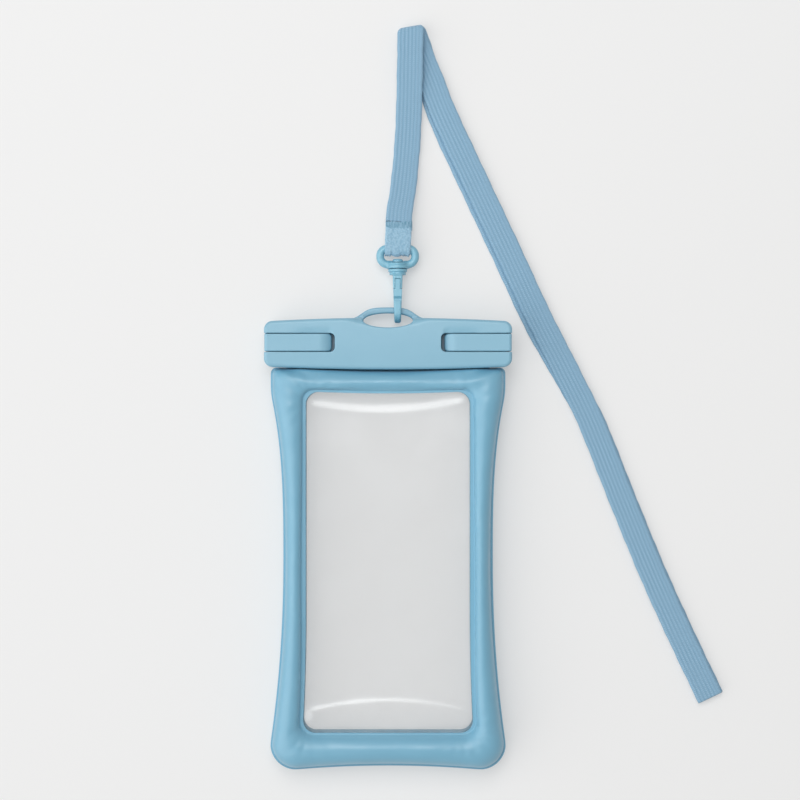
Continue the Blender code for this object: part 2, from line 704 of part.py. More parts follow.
def pocket_cutter():
    """Space for the phone, drawing in to the slit of the mouth, made as one prism."""
    slit = NECK_SLIT / 2
    mouth_y = BAR_BOTTOM_Y - BAR_BOTTOM_CROWN - FIT
    over = NECK_TOP_Y + CUT_PAST
    section = [
        (POCKET_BOTTOM_Y, -POCKET_HALF_Z),
        (POCKET_TOP_Y, -POCKET_HALF_Z),
        (mouth_y, -slit),
        (over, -slit),
        (over, slit),
        (mouth_y, slit),
        (POCKET_TOP_Y, POCKET_HALF_Z),
        (POCKET_BOTTOM_Y, POCKET_HALF_Z),
    ]
    stand = Matrix(((0, 0, 1, 0), (1, 0, 0, 0), (0, 1, 0, FRAME_MID_Z), (0, 0, 0, 1)))
    mesh = plate("pocket", [section], -POCKET_HALF_X, POCKET_HALF_X, stand)
    bm = bmesh.new()
    bm.from_mesh(mesh)
    corners = [
        e for e in bm.edges
        if all(abs(v.co.y - POCKET_BOTTOM_Y) < TINY for v in e.verts)
        and abs(e.verts[0].co.x - e.verts[1].co.x) < TINY
    ]
    bmesh.ops.bevel(bm, geom=corners, offset=POCKET_RADIUS, segments=3, profile=0.5, affect="EDGES")
    bm.to_mesh(mesh)
    bm.free()
    return place("pocket", face_outward(mesh), cutter=True)


def air_frame(soft):
    """The inflated frame with the pocket, the mouth's lips and a flat back."""
    frame = place("air_frame", frame_cage(), soft)
    mirror = frame.modifiers.new("left_half", "MIRROR")
    mirror.use_clip = True
    mirror.merge_threshold = TINY
    round_off = frame.modifiers.new("inflated", "SUBSURF")
    round_off.levels = 1
    round_off.render_levels = 1
    neck_low = WINDOW_TOP_Y + FLANGE
    outline = rounded_box_outline(-NECK_HALF_X, neck_low, NECK_HALF_X, NECK_TOP_Y, NECK_RADIUS)
    neck = plate("neck", [outline], FRAME_MID_Z - NECK_HALF_Z, FRAME_MID_Z + NECK_HALF_Z)
    boolean(frame, place("neck", neck, cutter=True), "UNION")
    boolean(frame, pocket_cutter())
    reach = BAR_HALF + CUT_PAST
    floor = box_mesh(
        "surface", (-reach, FRAME_BOTTOM_Y - CUT_PAST, -CUT_PAST), (reach, BAR_TOP_Y, 0.0)
    )
    boolean(frame, place("surface", floor, cutter=True))


def window(name, height, clear):
    """A clear film that laps under the frame's flange all round."""
    low = WINDOW_BOTTOM_Y - FILM_LAP
    top = WINDOW_TOP_Y + FILM_LAP
    radius = WINDOW_RADIUS + FILM_LAP
    half_low = window_half(WINDOW_BOTTOM_Y) + FILM_LAP
    half_top = WINDOW_HALF + FILM_LAP
    right = arc((half_low - radius, low + radius), radius, -90, 0, 6)
    ys = np.linspace(low + radius, top - radius, 9)[1:-1]
    right += [(window_half(y) + FILM_LAP, y) for y in ys]
    right += arc((half_top - radius, top - radius), radius, 0, 90, 6)
    left = [(-x, y) for x, y in reversed(right)]
    mesh = plate(name, [right + left], height - FILM / 2, height + FILM / 2)
    place(name, mesh, clear)


def hook_half_x(y):
    """Half the hook's width, which tapers toward its bend."""
    share = (y - HOOK_BOTTOM_Y) / (BOSS_BOTTOM_Y - COLLAR_LENGTH - HOOK_BOTTOM_Y)
    return HOOK_HALF_X_BOTTOM + (HOOK_HALF_X_TOP - HOOK_HALF_X_BOTTOM) * min(max(share, 0), 1)


def stand_hook(mesh):
    """Turn a (y, z) outline to its place at the hook, and taper its width."""
    for vert in mesh.vertices:
        y, z, x = vert.co
        vert.co = (HOOK_X + x * hook_half_x(y), y, SWIVEL_Z + z)
    return face_outward(mesh)


def hook_profile():
    """Side of the hook: shank, round bend and nose, in (y, height over the axis)."""
    inner = HOOK_OUTER - HOOK_THICK
    centre_y = HOOK_BOTTOM_Y + HOOK_OUTER
    top_y = BOSS_BOTTOM_Y - FIT - COLLAR_LENGTH + COLLAR_STEP
    block_y = GATE_PIVOT_Y - 0.0030
    lip_z = HOOK_OUTER - NOSE_LIP
    step_y = NOSE_TIP_Y - NOSE_STEP
    outer_bend = arc((centre_y, 0), HOOK_OUTER, 270, 90, 15)
    inner_bend = arc((centre_y, 0), inner, 90, 270, 11)
    return [
        (top_y, -HOOK_OUTER * 0.8),
        (top_y - HOOK_SHOULDER, -HOOK_OUTER),
        *outer_bend,
        (NOSE_TIP_Y, HOOK_OUTER),
        (NOSE_TIP_Y, lip_z),
        (step_y, lip_z),
        (step_y, inner),
        *inner_bend,
        (block_y - 0.0020, -inner),
        (block_y, -inner * 0.4),
        (block_y, inner),
        (GATE_PIVOT_Y - 0.0012, HOOK_OUTER),
        (top_y - 0.0014, HOOK_OUTER),
        (top_y, HOOK_OUTER * 0.8),
    ]


def gate_profile():
    """Side of the gate, from its eye down to the tongue behind the nose's lip."""
    inner = HOOK_OUTER - HOOK_THICK
    tongue_z = HOOK_OUTER - NOSE_LIP - FIT
    tongue_y = NOSE_TIP_Y - NOSE_STEP + FIT
    eye = arc((GATE_PIVOT_Y, GATE_PIVOT_Z), GATE_EYE_R, 80, -150, 14)
    tail_y = GATE_PIVOT_Y + 0.0004
    tail_z = GATE_PIVOT_Z - GATE_EYE_R
    return [
        (tongue_y, inner),
        (tongue_y, tongue_z),
        (NOSE_TIP_Y + 0.0012, tongue_z),
        (NOSE_TIP_Y + GATE_RECESS, HOOK_OUTER),
        (GATE_PIVOT_Y - 0.0018, HOOK_OUTER),
        *eye[:8],
        (tail_y + GATE_TAIL, tail_z - GATE_TAIL_REACH),
        (tail_y, tail_z - GATE_TAIL_REACH),
        (GATE_PIVOT_Y - 0.0010, tail_z + 0.0002),
        (GATE_PIVOT_Y - 0.0032, inner),
    ]


def hook_bodies(plastic, steel):
    """The snap hook, its gate and the gate's pin, about the swivel's axis."""
    swivel = pivot("hook_swivel", (HOOK_X, BOSS_BOTTOM_Y, SWIVEL_Z))
    body = place("hook_body", stand_hook(plate("hook_body", [hook_profile()], -1, 1)), plastic, swivel)
    soften(body, HOOK_BEVEL, 2, 35)

    collar_low = BOSS_BOTTOM_Y - FIT - COLLAR_LENGTH
    head_low = BOSS_TOP_Y + FIT
    turned = [
        (COLLAR_R - COLLAR_STEP, collar_low),
        (COLLAR_R - COLLAR_STEP, collar_low + COLLAR_LENGTH * 0.45),
        (COLLAR_R, collar_low + COLLAR_LENGTH * 0.45 + COLLAR_STEP / 2),
        (COLLAR_R, BOSS_BOTTOM_Y - FIT),
        (STEM_R, BOSS_BOTTOM_Y - FIT),
        (STEM_R, head_low),
        (HEAD_R, head_low),
        (HEAD_R, head_low + HEAD_LENGTH * 0.6),
        (HEAD_R * 0.8, head_low + HEAD_LENGTH),
    ]
    collar = place("hook_collar", turned_mesh("hook_collar", turned), cutter=True)
    boolean(body, collar, "UNION")

    tail_end_z = SWIVEL_Z + GATE_PIVOT_Z - GATE_EYE_R - GATE_TAIL_REACH
    slot = box_mesh(
        "gate_slot",
        (HOOK_X - GATE_EYE_HALF_X - FIT, GATE_PIVOT_Y - GATE_SLOT_DROP, tail_end_z - 3 * FIT),
        (HOOK_X + GATE_EYE_HALF_X + FIT, GATE_PIVOT_Y + GATE_TAIL_ROOM, SWIVEL_Z + HOOK_OUTER + CUT_PAST),
    )
    pin_z = SWIVEL_Z + GATE_PIVOT_Z
    wide = HOOK_HALF_X_TOP
    ends = [(HOOK_X + side * (wide + CUT_PAST), GATE_PIVOT_Y, pin_z) for side in (-1, 1)]
    pin_hole = place("gate_pin_hole", rod_mesh("gate_pin_hole", *ends, GATE_PIN_R + FIT, 12), cutter=True)
    boolean(body, pin_hole)
    boolean(body, place("gate_slot", slot, cutter=True))

    gate_pivot = pivot("gate_pivot", (HOOK_X, GATE_PIVOT_Y, pin_z))
    gate = place("hook_gate", stand_hook(plate("hook_gate", [gate_profile()], -1, 1)), plastic, gate_pivot)
    for side, word in SIDES:
        x0, x1 = sorted((HOOK_X + side * GATE_EYE_HALF_X, HOOK_X + side * (wide + CUT_PAST)))
        trim = box_mesh(
            "gate_trim",
            (x0, GATE_PIVOT_Y - GATE_SLOT_DROP + FIT + GATE_EYE_R / 2, SWIVEL_Z - CUT_PAST),
            (x1, GATE_PIVOT_Y + GATE_SLOT_DROP, SWIVEL_Z + HOOK_OUTER + CUT_PAST),
        )
        boolean(gate, place(f"gate_trim_{word}", trim, cutter=True))
    boolean(gate, pin_hole)
    reach = hook_half_x(GATE_PIVOT_Y) - TINY
    pin_ends = [(HOOK_X + side * reach, GATE_PIVOT_Y, pin_z) for side in (-1, 1)]
    place("gate_pin", rod_mesh("gate_pin", *pin_ends, GATE_PIN_R, 12), steel, swivel)


def turned_mesh(name, profile, sides=28):
    """Round piece about the swivel's axis, from a profile of (radius, y)."""
    bm = bmesh.new()
    rows = []
    for radius, y in profile:
        row = []
        for k in range(sides):
            angle = 2 * math.pi * k / sides
            row.append(bm.verts.new((
                HOOK_X + radius * math.cos(angle), y, SWIVEL_Z + radius * math.sin(angle)
            )))
        rows.append(row)
    for low, high in zip(rows, rows[1:]):
        for k in range(sides):
            bm.faces.new((low[k], low[(k + 1) % sides], high[(k + 1) % sides], high[k]))
    bm.faces.new(rows[0])
    bm.faces.new(rows[-1])
    bmesh.ops.recalc_face_normals(bm, faces=bm.faces)
    mesh = bpy.data.meshes.new(name)
    bm.to_mesh(mesh)
    bm.free()
    return mesh


def swivel_ring(plastic):
    """Ring of the webbing's width with a round boss that the hook's stem turns in."""
    curve = bpy.data.curves.new("swivel_ring", "CURVE")
    curve.dimensions = "3D"
    curve.bevel_depth = RING_WIRE_R
    curve.bevel_resolution = 2
    x0, x1 = HOOK_X - RING_HALF_X, HOOK_X + RING_HALF_X
    outline = rounded_box_outline(x0, RING_BOTTOM_Y, x1, RING_TOP_Y, RING_CORNER, 6, RING_LOW_CORNER)
    spline = curve.splines.new("POLY")
    spline.points.add(len(outline) - 1)
    for point, (x, y) in zip(spline.points, outline):
        point.co = (x, y, SWIVEL_Z, 1.0)
    spline.use_cyclic_u = True
    ring = place("swivel_ring", mesh_of_curve("swivel_ring", curve), plastic)
    boss = [
        (BOSS_R - BOSS_LOW_EDGE, BOSS_BOTTOM_Y),
        (BOSS_R, BOSS_BOTTOM_Y + BOSS_LOW_EDGE),
        (BOSS_R, BOSS_TOP_Y - BOSS_TOP_EDGE),
        (BOSS_R - BOSS_TOP_EDGE, BOSS_TOP_Y),
    ]
    boolean(ring, place("ring_boss", turned_mesh("ring_boss", boss), cutter=True), "UNION")
    axis = [(HOOK_X, y, SWIVEL_Z) for y in (BOSS_BOTTOM_Y - CUT_PAST, BOSS_TOP_Y + HEAD_LENGTH)]
    bore = rod_mesh("stem_bore", *axis, STEM_R + FIT)
    boolean(ring, place("stem_bore", bore, cutter=True))
    head_room = (HOOK_X, BOSS_TOP_Y + FIT + HEAD_LENGTH + FIT, SWIVEL_Z)
    seat = rod_mesh("head_seat", (HOOK_X, BOSS_TOP_Y, SWIVEL_Z), head_room, HEAD_R + FIT)
    boolean(ring, place("head_seat", seat, cutter=True))


def smooth_line(points, count):
    """Points at even steps on a smooth curve through the given points."""
    pts = np.array(points, float)
    pts = np.vstack([2 * pts[0] - pts[1], pts, 2 * pts[-1] - pts[-2]])
    fine = []
    for k in range(1, len(pts) - 2):
        p0, p1, p2, p3 = pts[k - 1 : k + 3]
        for t in np.linspace(0, 1, 24, endpoint=False):
            fine.append(0.5 * (
                2 * p1 + (p2 - p0) * t + (2 * p0 - 5 * p1 + 4 * p2 - p3) * t**2
                + (3 * p1 - p0 - 3 * p2 + p3) * t**3
            ))
    fine = np.array(fine + [pts[-2]])
    along = np.r_[0, np.cumsum(np.linalg.norm(np.diff(fine, axis=0), axis=1))]
    steps = np.linspace(0, along[-1], count)
    return np.stack([np.interp(steps, along, fine[:, k]) for k in range(fine.shape[1])], axis=1)


def ribbon(name, centres, acrosses, normals, finish):
    """Loft of a flat band's section along rows of (centre, across, normal)."""
    bm = bmesh.new()
    rows = []
    for centre, across, normal in zip(centres, acrosses, normals):
        across = np.array(across) * WEB_HALF
        normal = np.array(normal) * (WEB_THICK / 2)
        corners = [-across - normal, across - normal, across + normal, -across + normal]
        rows.append([bm.verts.new(np.array(centre) + corner) for corner in corners])
    for low, high in zip(rows, rows[1:]):
        for k in range(4):
            bm.faces.new((low[k], low[(k + 1) % 4], high[(k + 1) % 4], high[k]))
    bm.faces.new(rows[0])
    bm.faces.new(rows[-1])
    bmesh.ops.recalc_face_normals(bm, faces=bm.faces)
    mesh = bpy.data.meshes.new(name)
    bm.to_mesh(mesh)
    bm.free()
    return place(name, mesh, finish)


def flat_rows(line, heights):
    """Centres, across vectors and normals of a band that lies along a plan line."""
    tangents = np.gradient(line, axis=0)
    tangents /= np.linalg.norm(tangents, axis=1)[:, None]
    slopes = np.gradient(heights) / np.linalg.norm(np.gradient(line, axis=0), axis=1)
    across = np.stack([tangents[:, 1], -tangents[:, 0], np.zeros(len(line))], axis=1)
    run = np.stack([tangents[:, 0], tangents[:, 1], slopes], axis=1)
    run /= np.linalg.norm(run, axis=1)[:, None]
    normal = np.cross(across, run)
    return np.column_stack([line, heights]), across, normal


def lanyard(webbing):
    """Both strands and the sewn end round the ring."""
    bottom = WEB_FLOOR + WEB_THICK / 2
    step = WEB_THICK + WEB_APART
    folded_strand("lanyard_outer_strand", bottom, FOLD_INNER_R + step, 1, webbing)
    folded_strand("lanyard_inner_strand", bottom + step, FOLD_INNER_R, -1, webbing)
    sewn_end(webbing)


def fold_frame():
    """The fold's crease: a point on it, its direction and the way out of the fold."""
    first = np.array(RISING_RUN[-1]) - np.array(RISING_RUN[-2])
    second = np.array(FALLING_RUN[1]) - np.array(FALLING_RUN[0])
    first = first / np.linalg.norm(first)
    second = second / np.linalg.norm(second)
    crease = (first + second) / np.linalg.norm(first + second)
    outward = first - second
    return np.array(RISING_RUN[-1]), first, second, crease, outward / np.linalg.norm(outward)


def run_height(y, sewn_z, rest_z, fold_z):
    """Height of the rising run: down from the ring, along the surface, up to the fold."""
    ends = ease((y - SEWN_Y) / SETTLE_RUN)
    climb = ease((y - CLIMB_Y) / CLIMB_RUN)
    return sewn_z + (rest_z - sewn_z) * ends + (fold_z - rest_z) * climb


def folded_strand(name, falling_z, radius, side, webbing):
    """One strand. At the crease its flat pattern wraps on a small half round.

    Rows in the fold run along the crease, so that each row has one turn angle.
    """
    top, first, second, crease, outward = fold_frame()
    leaving = first @ outward
    rising_z = falling_z + 2 * radius
    level = WEB_FLOOR + WEB_THICK / 2
    rest_z = level + (WEB_THICK + WEB_APART) * (1 if side > 0 else 0)
    sewn_z = SWIVEL_Z + side * (WEB_THICK + WEB_APART) / 2
    lead = FOLD_LEAD + WEB_HALF * abs(first @ crease)
    crossing = top - first * ((FOLD_INNER_R + WEB_APART + 1.5 * WEB_THICK) / leaving)

    rising = smooth_line(RISING_RUN, 200)
    rising = smooth_line(rising[(crossing - rising) @ outward > lead][::20], RISING_ROWS)
    heights = np.array([run_height(y, sewn_z, rest_z, rising_z) for y in rising[:, 1]])
    centres, across, normals = [list(rows) for rows in flat_rows(rising, heights)]

    wide = np.array([*crease, 0.0]) / abs(np.array([first[1], -first[0]]) @ crease)
    wrap = math.pi * radius
    pasts = [-lead * 0.6, -lead * 0.3, *np.linspace(0, wrap, FOLD_ROWS), wrap + lead * 0.3, wrap + lead * 0.6]
    for past in pasts:
        turn = min(max(past / radius, 0.0), math.pi)
        reach = past if past < 0 else radius * math.sin(turn) - max(past - wrap, 0.0)
        height = rising_z - radius * (1 - math.cos(turn))
        plan = crossing + crease * (first @ crease) * past / leaving + outward * reach
        centres.append(np.array([*plan, height]))
        across.append(wide)
        normals.append(np.array([*(outward * math.sin(turn)), math.cos(turn)]))

    falling = smooth_line(FALLING_RUN, 400)
    last = centres[-1][:2]
    falling = falling[(last - falling) @ outward > lead]
    length = np.linalg.norm(np.diff(falling, axis=0), axis=1).sum()
    count = round(length / WEB_STEP)
    falling = smooth_line(falling[:: len(falling) // 24], count)
    shares = np.linspace(0, 1, count)
    rows = flat_rows(falling, np.full(count, falling_z))
    for centre, edge, share in zip(rows[0], rows[1], shares):
        slide = side * STRAND_SHIFT * math.cos(math.pi * share) * ease(share * 6)
        centres.append(centre + edge * slide)
        across.append(-edge)
        normals.append(np.array([0.0, 0.0, -1.0]))
    ribbon(name, centres, across, normals, webbing)


def sewn_end(webbing):
    """The webbing's end: down over the ring's far bar, round it and back."""
    radius = RING_WIRE_R + FIT + WEB_THICK / 2
    first = np.array(RISING_RUN[0])
    meet = (WEB_THICK + WEB_APART) / 2
    centres = []
    for side in (1, -1):
        leg = []
        for share in np.linspace(0, 1, 7):
            y = SEWN_Y + (RING_TOP_Y - SEWN_Y) * share
            x = first[0] + (HOOK_X - first[0]) * share
            leg.append((x, y, SWIVEL_Z + side * (meet + (radius - meet) * ease(share * 1.15))))
        if side > 0:
            centres += leg
            for angle in np.linspace(90, -90, 11)[1:-1]:
                a = math.radians(angle)
                centres.append((HOOK_X, RING_TOP_Y - radius * math.cos(a), SWIVEL_Z + radius * math.sin(a)))
        else:
            centres += reversed(leg)
    centres = np.array(centres)
    runs = np.gradient(centres, axis=0)
    runs /= np.linalg.norm(runs, axis=1)[:, None]
    across = np.tile([1.0, 0.0, 0.0], (len(centres), 1))
    ribbon("lanyard_sewn_end", centres, across, np.cross(across, runs), webbing)


def main():
    """Build the case."""
    clear_scene()
    plastic = material("clamp_plastic", (0.31, 0.52, 0.64), 0.45)
    soft = material("frame_vinyl", (0.24, 0.46, 0.60), 0.42)
    clear = material("window_film", (0.92, 0.95, 0.96), 0.08, alpha=0.25)
    seal = material("seal_rubber", (0.10, 0.14, 0.17), 0.7)
    steel = material("pin_steel", (0.62, 0.63, 0.65), 0.3, metallic=1.0)
    fittings = material("hook_acetal", (0.30, 0.55, 0.68), 0.4)
    webbing = material("lanyard_webbing", (0.27, 0.43, 0.58), 0.85)
    clamp_bars(plastic, seal)
    latches(plastic, steel)
    air_frame(soft)
    film_height = POCKET_HALF_Z - FIT - FILM / 2
    window("front_window", FRAME_MID_Z + film_height, clear)
    window("back_window", FRAME_MID_Z - film_height, clear)
    swivel_ring(fittings)
    hook_bodies(fittings, steel)
    lanyard(webbing)


main()
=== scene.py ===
"""Looks of a floating waterproof phone case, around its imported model.

The case lies on its back: +X is its right, +Y runs from its lower edge to the eyelet,
+Z comes out of its front window. Lengths are in metres.
"""

from __future__ import annotations

import logging
import math
from dataclasses import dataclass, field
from enum import Enum
from typing import Callable, Sequence

import bpy
import numpy as np
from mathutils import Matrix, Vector


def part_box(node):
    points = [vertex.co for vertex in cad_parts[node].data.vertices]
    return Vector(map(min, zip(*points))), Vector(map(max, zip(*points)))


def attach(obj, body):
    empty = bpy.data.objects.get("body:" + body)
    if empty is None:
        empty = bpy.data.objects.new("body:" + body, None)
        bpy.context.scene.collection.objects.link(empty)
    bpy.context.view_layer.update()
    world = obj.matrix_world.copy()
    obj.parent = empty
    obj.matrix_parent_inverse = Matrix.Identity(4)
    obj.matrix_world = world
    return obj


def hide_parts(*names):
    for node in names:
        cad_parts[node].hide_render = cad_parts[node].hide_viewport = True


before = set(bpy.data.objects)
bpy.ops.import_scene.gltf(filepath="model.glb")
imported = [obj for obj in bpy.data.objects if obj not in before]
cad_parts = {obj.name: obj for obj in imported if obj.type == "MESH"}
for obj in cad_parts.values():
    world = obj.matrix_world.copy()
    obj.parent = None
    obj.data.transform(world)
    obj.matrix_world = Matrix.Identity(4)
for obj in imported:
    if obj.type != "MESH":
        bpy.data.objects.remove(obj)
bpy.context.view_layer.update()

Array = np.ndarray
Field = Callable[[Array, Array, Array], Array]
Colour = tuple[float, float, float]
Socket = bpy.types.NodeSocket
Mesh = bpy.types.Mesh
Piece = bpy.types.Object
Material = bpy.types.Material

MM = 0.001
FIT = 0.3 * MM  # clearance between pieces that seat on each other
FLOOR_DROP = 0.2 * MM  # the floor lies this far under the lowest piece
TINY = 1e-9  # least number that anything is divided by

log = logging.getLogger("case")


class Side(Enum):
    """The two ends of the clamp bars."""

    RIGHT = 1
    LEFT = -1

    @property
    def word(self) -> str:
        """The side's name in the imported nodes."""
        return self.name.lower()


class Shell(Enum):
    """The two halves of the air frame."""

    FRONT = 1
    BACK = -1


class Layer(Enum):
    """The two strands of the doubled lanyard."""

    OUTER = 1
    INNER = -1


# Numbers and shapes of one value


def ease(share: Array | float) -> Array:
    """Smooth step: 3s^2 - 2s^3 of a share held between 0 and 1.

    Args:
        share: position between the two ends.

    Returns:
        The eased share.
    """
    share = np.clip(share, 0.0, 1.0)
    return share * share * (3 - 2 * share)


def hump(distance: Array, width: float) -> Array:
    """Bell curve exp(-(d / w)^2) of a distance."""
    return np.exp(-((distance / width) ** 2))


def unit(vectors: Array) -> Array:
    """Vectors along the last axis, each divided by its length."""
    return vectors / np.linalg.norm(vectors, axis=-1, keepdims=True)


def arc(centre: Sequence[float], radius: float, start: float, end: float, count: int) -> Array:
    """Points of an arc: centre + radius * (cos a, sin a).

    Args:
        centre: middle of the arc.
        radius: its radius.
        start: first angle in degrees.
        end: last angle in degrees.
        count: number of points.

    Returns:
        Array of (count, 2).
    """
    a = np.radians(np.linspace(start, end, count))
    return np.stack([centre[0] + radius * np.cos(a), centre[1] + radius * np.sin(a)], axis=1)


def smooth_line(points: Array, count: int) -> Array:
    """Points at even steps on the Catmull-Rom curve through the given points.

    Args:
        points: array of (n, k).
        count: number of points wanted.

    Returns:
        Array of (count, k).
    """
    pts = np.asarray(points, float)
    pts = np.vstack([2 * pts[0] - pts[1], pts, 2 * pts[-1] - pts[-2]])
    p0, p1, p2, p3 = (pts[k : len(pts) - 3 + k][:, None, :] for k in range(4))
    t = np.linspace(0, 1, 48, endpoint=False)[None, :, None]
    square, cube = 2 * p0 - 5 * p1 + 4 * p2 - p3, 3 * p1 - p0 - 3 * p2 + p3
    fine = 0.5 * (2 * p1 + (p2 - p0) * t + square * t**2 + cube * t**3)
    fine = np.vstack([fine.reshape(-1, pts.shape[1]), pts[-2]])
    along = np.r_[0, np.cumsum(np.linalg.norm(np.diff(fine, axis=0), axis=1))]
    steps = np.linspace(0, along[-1], count)
    return np.stack([np.interp(steps, along, fine[:, k]) for k in range(fine.shape[1])], axis=1)


def spline_basis(controls: int, count: int) -> Array:
    """Weights of the uniform cubic B-spline whose ends are held by tripled points.

    Args:
        controls: number of control points.
        count: number of samples.

    Returns:
        Array of (count, controls), each row adding up to 1.
    """
    t = np.linspace(0, controls + 1 - 1e-9, count)
    k = np.floor(t).astype(int)
    u = t - k
    parts = [
        (1 - u) ** 3 / 6,
        (3 * u**3 - 6 * u**2 + 4) / 6,
        (-3 * u**3 + 3 * u**2 + 3 * u + 1) / 6,
        u**3 / 6,
    ]
    weights = np.zeros((count, controls))
    for shift, part in enumerate(parts):
        at = np.clip(k + shift - 2, 0, controls - 1)
        np.add.at(weights, (np.arange(count), at), part)
    return weights


# Distances to shapes: negative inside, positive outside


def round_max(a: Array, b: Array, radius: Array | float) -> Array:
    """The larger of two distances, rounded by a true arc where both surfaces meet."""
    return np.minimum(np.maximum(a, b), -radius) + np.hypot(
        np.maximum(a + radius, 0), np.maximum(b + radius, 0)
    )


def blend_min(a: Array, b: Array, radius: float) -> Array:
    """The smaller of two distances, with a soft fillet where both surfaces meet."""
    h = np.clip(0.5 + 0.5 * (b - a) / radius, 0, 1)
    return b + (a - b) * h - radius * h * (1 - h)


def box_distance(x: Array, y: Array, half_x: Array, half_y: Array, radius: Array | float) -> Array:
    """Distance to a rectangle with round corners, about the origin.

    Args:
        x, y: coordinates.
        half_x, half_y: half its sides.
        radius: radius of its corners.

    Returns:
        Distance, negative inside.
    """
    qx = np.abs(x) - half_x + radius
    qy = np.abs(y) - half_y + radius
    outside = np.hypot(np.maximum(qx, 0), np.maximum(qy, 0))
    return outside + np.minimum(np.maximum(qx, qy), 0) - radius


def ellipse_distance(x: Array, y: Array, half_x: float, half_y: float) -> Array:
    """Distance to an ellipse by its first-order form, k0 (k0 - 1) / k1."""
    k0 = np.hypot(x / half_x, y / half_y)
    k1 = np.hypot(x / half_x**2, y / half_y**2)
    return k0 * (k0 - 1) / np.maximum(k1, TINY)


def polygon_distance(x: Array, y: Array, points: Array) -> Array:
    """Distance to a closed polygon: the nearest edge, with the sign of its winding.

    Args:
        x: first coordinate of the places asked for.
        y: second coordinate.
        points: corners, array of (n, 2).

    Returns:
        Signed distances, shaped like x.
    """
    best = np.full(np.shape(x), np.inf)
    inside = np.zeros(np.shape(x), bool)
    for (ax, ay), (bx, by) in zip(points, np.roll(points, -1, axis=0)):
        ex, ey = bx - ax, by - ay
        wx, wy = x - ax, y - ay
        share = np.clip((wx * ex + wy * ey) / max(ex * ex + ey * ey, 1e-18), 0, 1)
        best = np.minimum(best, (wx - ex * share) ** 2 + (wy - ey * share) ** 2)
        crosses = ((ay <= y) & (by > y)) | ((ay > y) & (by <= y))
        rise = ey if ey else 1e-18
        inside ^= crosses & (wx < ex * wy / rise)
    return np.where(inside, -1.0, 1.0) * np.sqrt(best)


# Meshes


def grid_faces(rows: int, cols: int, close_rows: bool) -> tuple[Array, Array]:
    """Quads of a grid of points numbered row by row, each row a closed loop.

    Args:
        rows: number of rows.
        cols: number of points in a row.
        close_rows: whether the last row joins the first.

    Returns:
        Corner numbers (n, 4), and the (row, col) of each corner before wrapping (n, 4, 2).
    """
    r = np.arange(rows if close_rows else rows - 1)
    r, c = (g.ravel() for g in np.meshgrid(r, np.arange(cols), indexing="ij"))
    at = np.stack([np.stack([r + i, c + j], -1) for i, j in ((0, 0), (1, 0), (1, 1), (0, 1))], 1)
    return (at[..., 0] % rows) * cols + at[..., 1] % cols, at


def fill_mesh(name: str, points: Array, quads: Array, caps: Sequence[Array] = ()) -> Mesh:
    """Put points, quads and many-sided caps into a new smooth mesh.

    Args:
        name: name of the mesh.
        points: array of (n, 3).
        quads: corner numbers, array of (m, 4).
        caps: corner numbers of each extra face.

    Returns:
        The mesh.
    """
    mesh = bpy.data.meshes.new(name)
    corners = np.concatenate([quads.ravel(), *caps]).astype(np.int32)
    totals = np.concatenate([np.full(len(quads), 4), [len(c) for c in caps]]).astype(np.int32)
    mesh.vertices.add(len(points))
    mesh.vertices.foreach_set("co", np.asarray(points, np.float32).ravel())
    mesh.loops.add(len(corners))
    mesh.loops.foreach_set("vertex_index", corners)
    mesh.polygons.add(len(totals))
    mesh.polygons.foreach_set("loop_start", np.r_[0, np.cumsum(totals)[:-1]].astype(np.int32))
    mesh.polygons.foreach_set("loop_total", totals)
    mesh.polygons.foreach_set("use_smooth", np.ones(len(totals), bool))
    mesh.update(calc_edges=True)
    return mesh


def points_of(mesh: Mesh) -> Array:
    """The mesh's points, array of (n, 3)."""
    co = np.zeros(len(mesh.vertices) * 3, np.float32)
    mesh.vertices.foreach_get("co", co)
    return co.reshape(-1, 3).astype(float)


def tone(mesh: Mesh, name: str, values: Array) -> None:
    """Store one number for each point, which a finish may read by its name."""
    layer = mesh.attributes.new(name, "FLOAT", "POINT")
    layer.data.foreach_set("value", np.asarray(values, np.float32).ravel())


def show(name: str, mesh: Mesh, finish: Material) -> Piece:
    """Make an object at the origin from a mesh, with one material.

    Args:
        name: name of the object.
        mesh: its mesh.
        finish: its material.

    Returns:
        The object.
    """
    made = bpy.data.objects.new(name, mesh)
    mesh.materials.append(finish)
    bpy.context.scene.collection.objects.link(made)
    return made


def stand_in(
    name: str,
    mesh: Mesh,
    finish: Material,
    body: str,
    node: str | None = None,
) -> Piece:
    """Make a piece that rides on a body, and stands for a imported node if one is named.

    Args:
        name: name of the piece.
        mesh: its mesh, already in its place.
        finish: its material.
        body: the body that it moves with.
        node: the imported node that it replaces.

    Returns:
        The piece.
    """
    made = show(name, mesh, finish)
    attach(made, body)
    if node:
        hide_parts(node)
    return made


def face_out(mesh: Mesh) -> None:
    """Turn a closed mesh inside out if its signed volume is negative."""
    co = points_of(mesh)
    mesh.calc_loop_triangles()
    tri = np.zeros(len(mesh.loop_triangles) * 3, np.int32)
    mesh.loop_triangles.foreach_get("vertices", tri)
    a, b, c = (co[tri.reshape(-1, 3)[:, k]] for k in range(3))
    if np.einsum("ij,ij->i", a, np.cross(b, c)).sum() < 0:
        mesh.flip_normals()


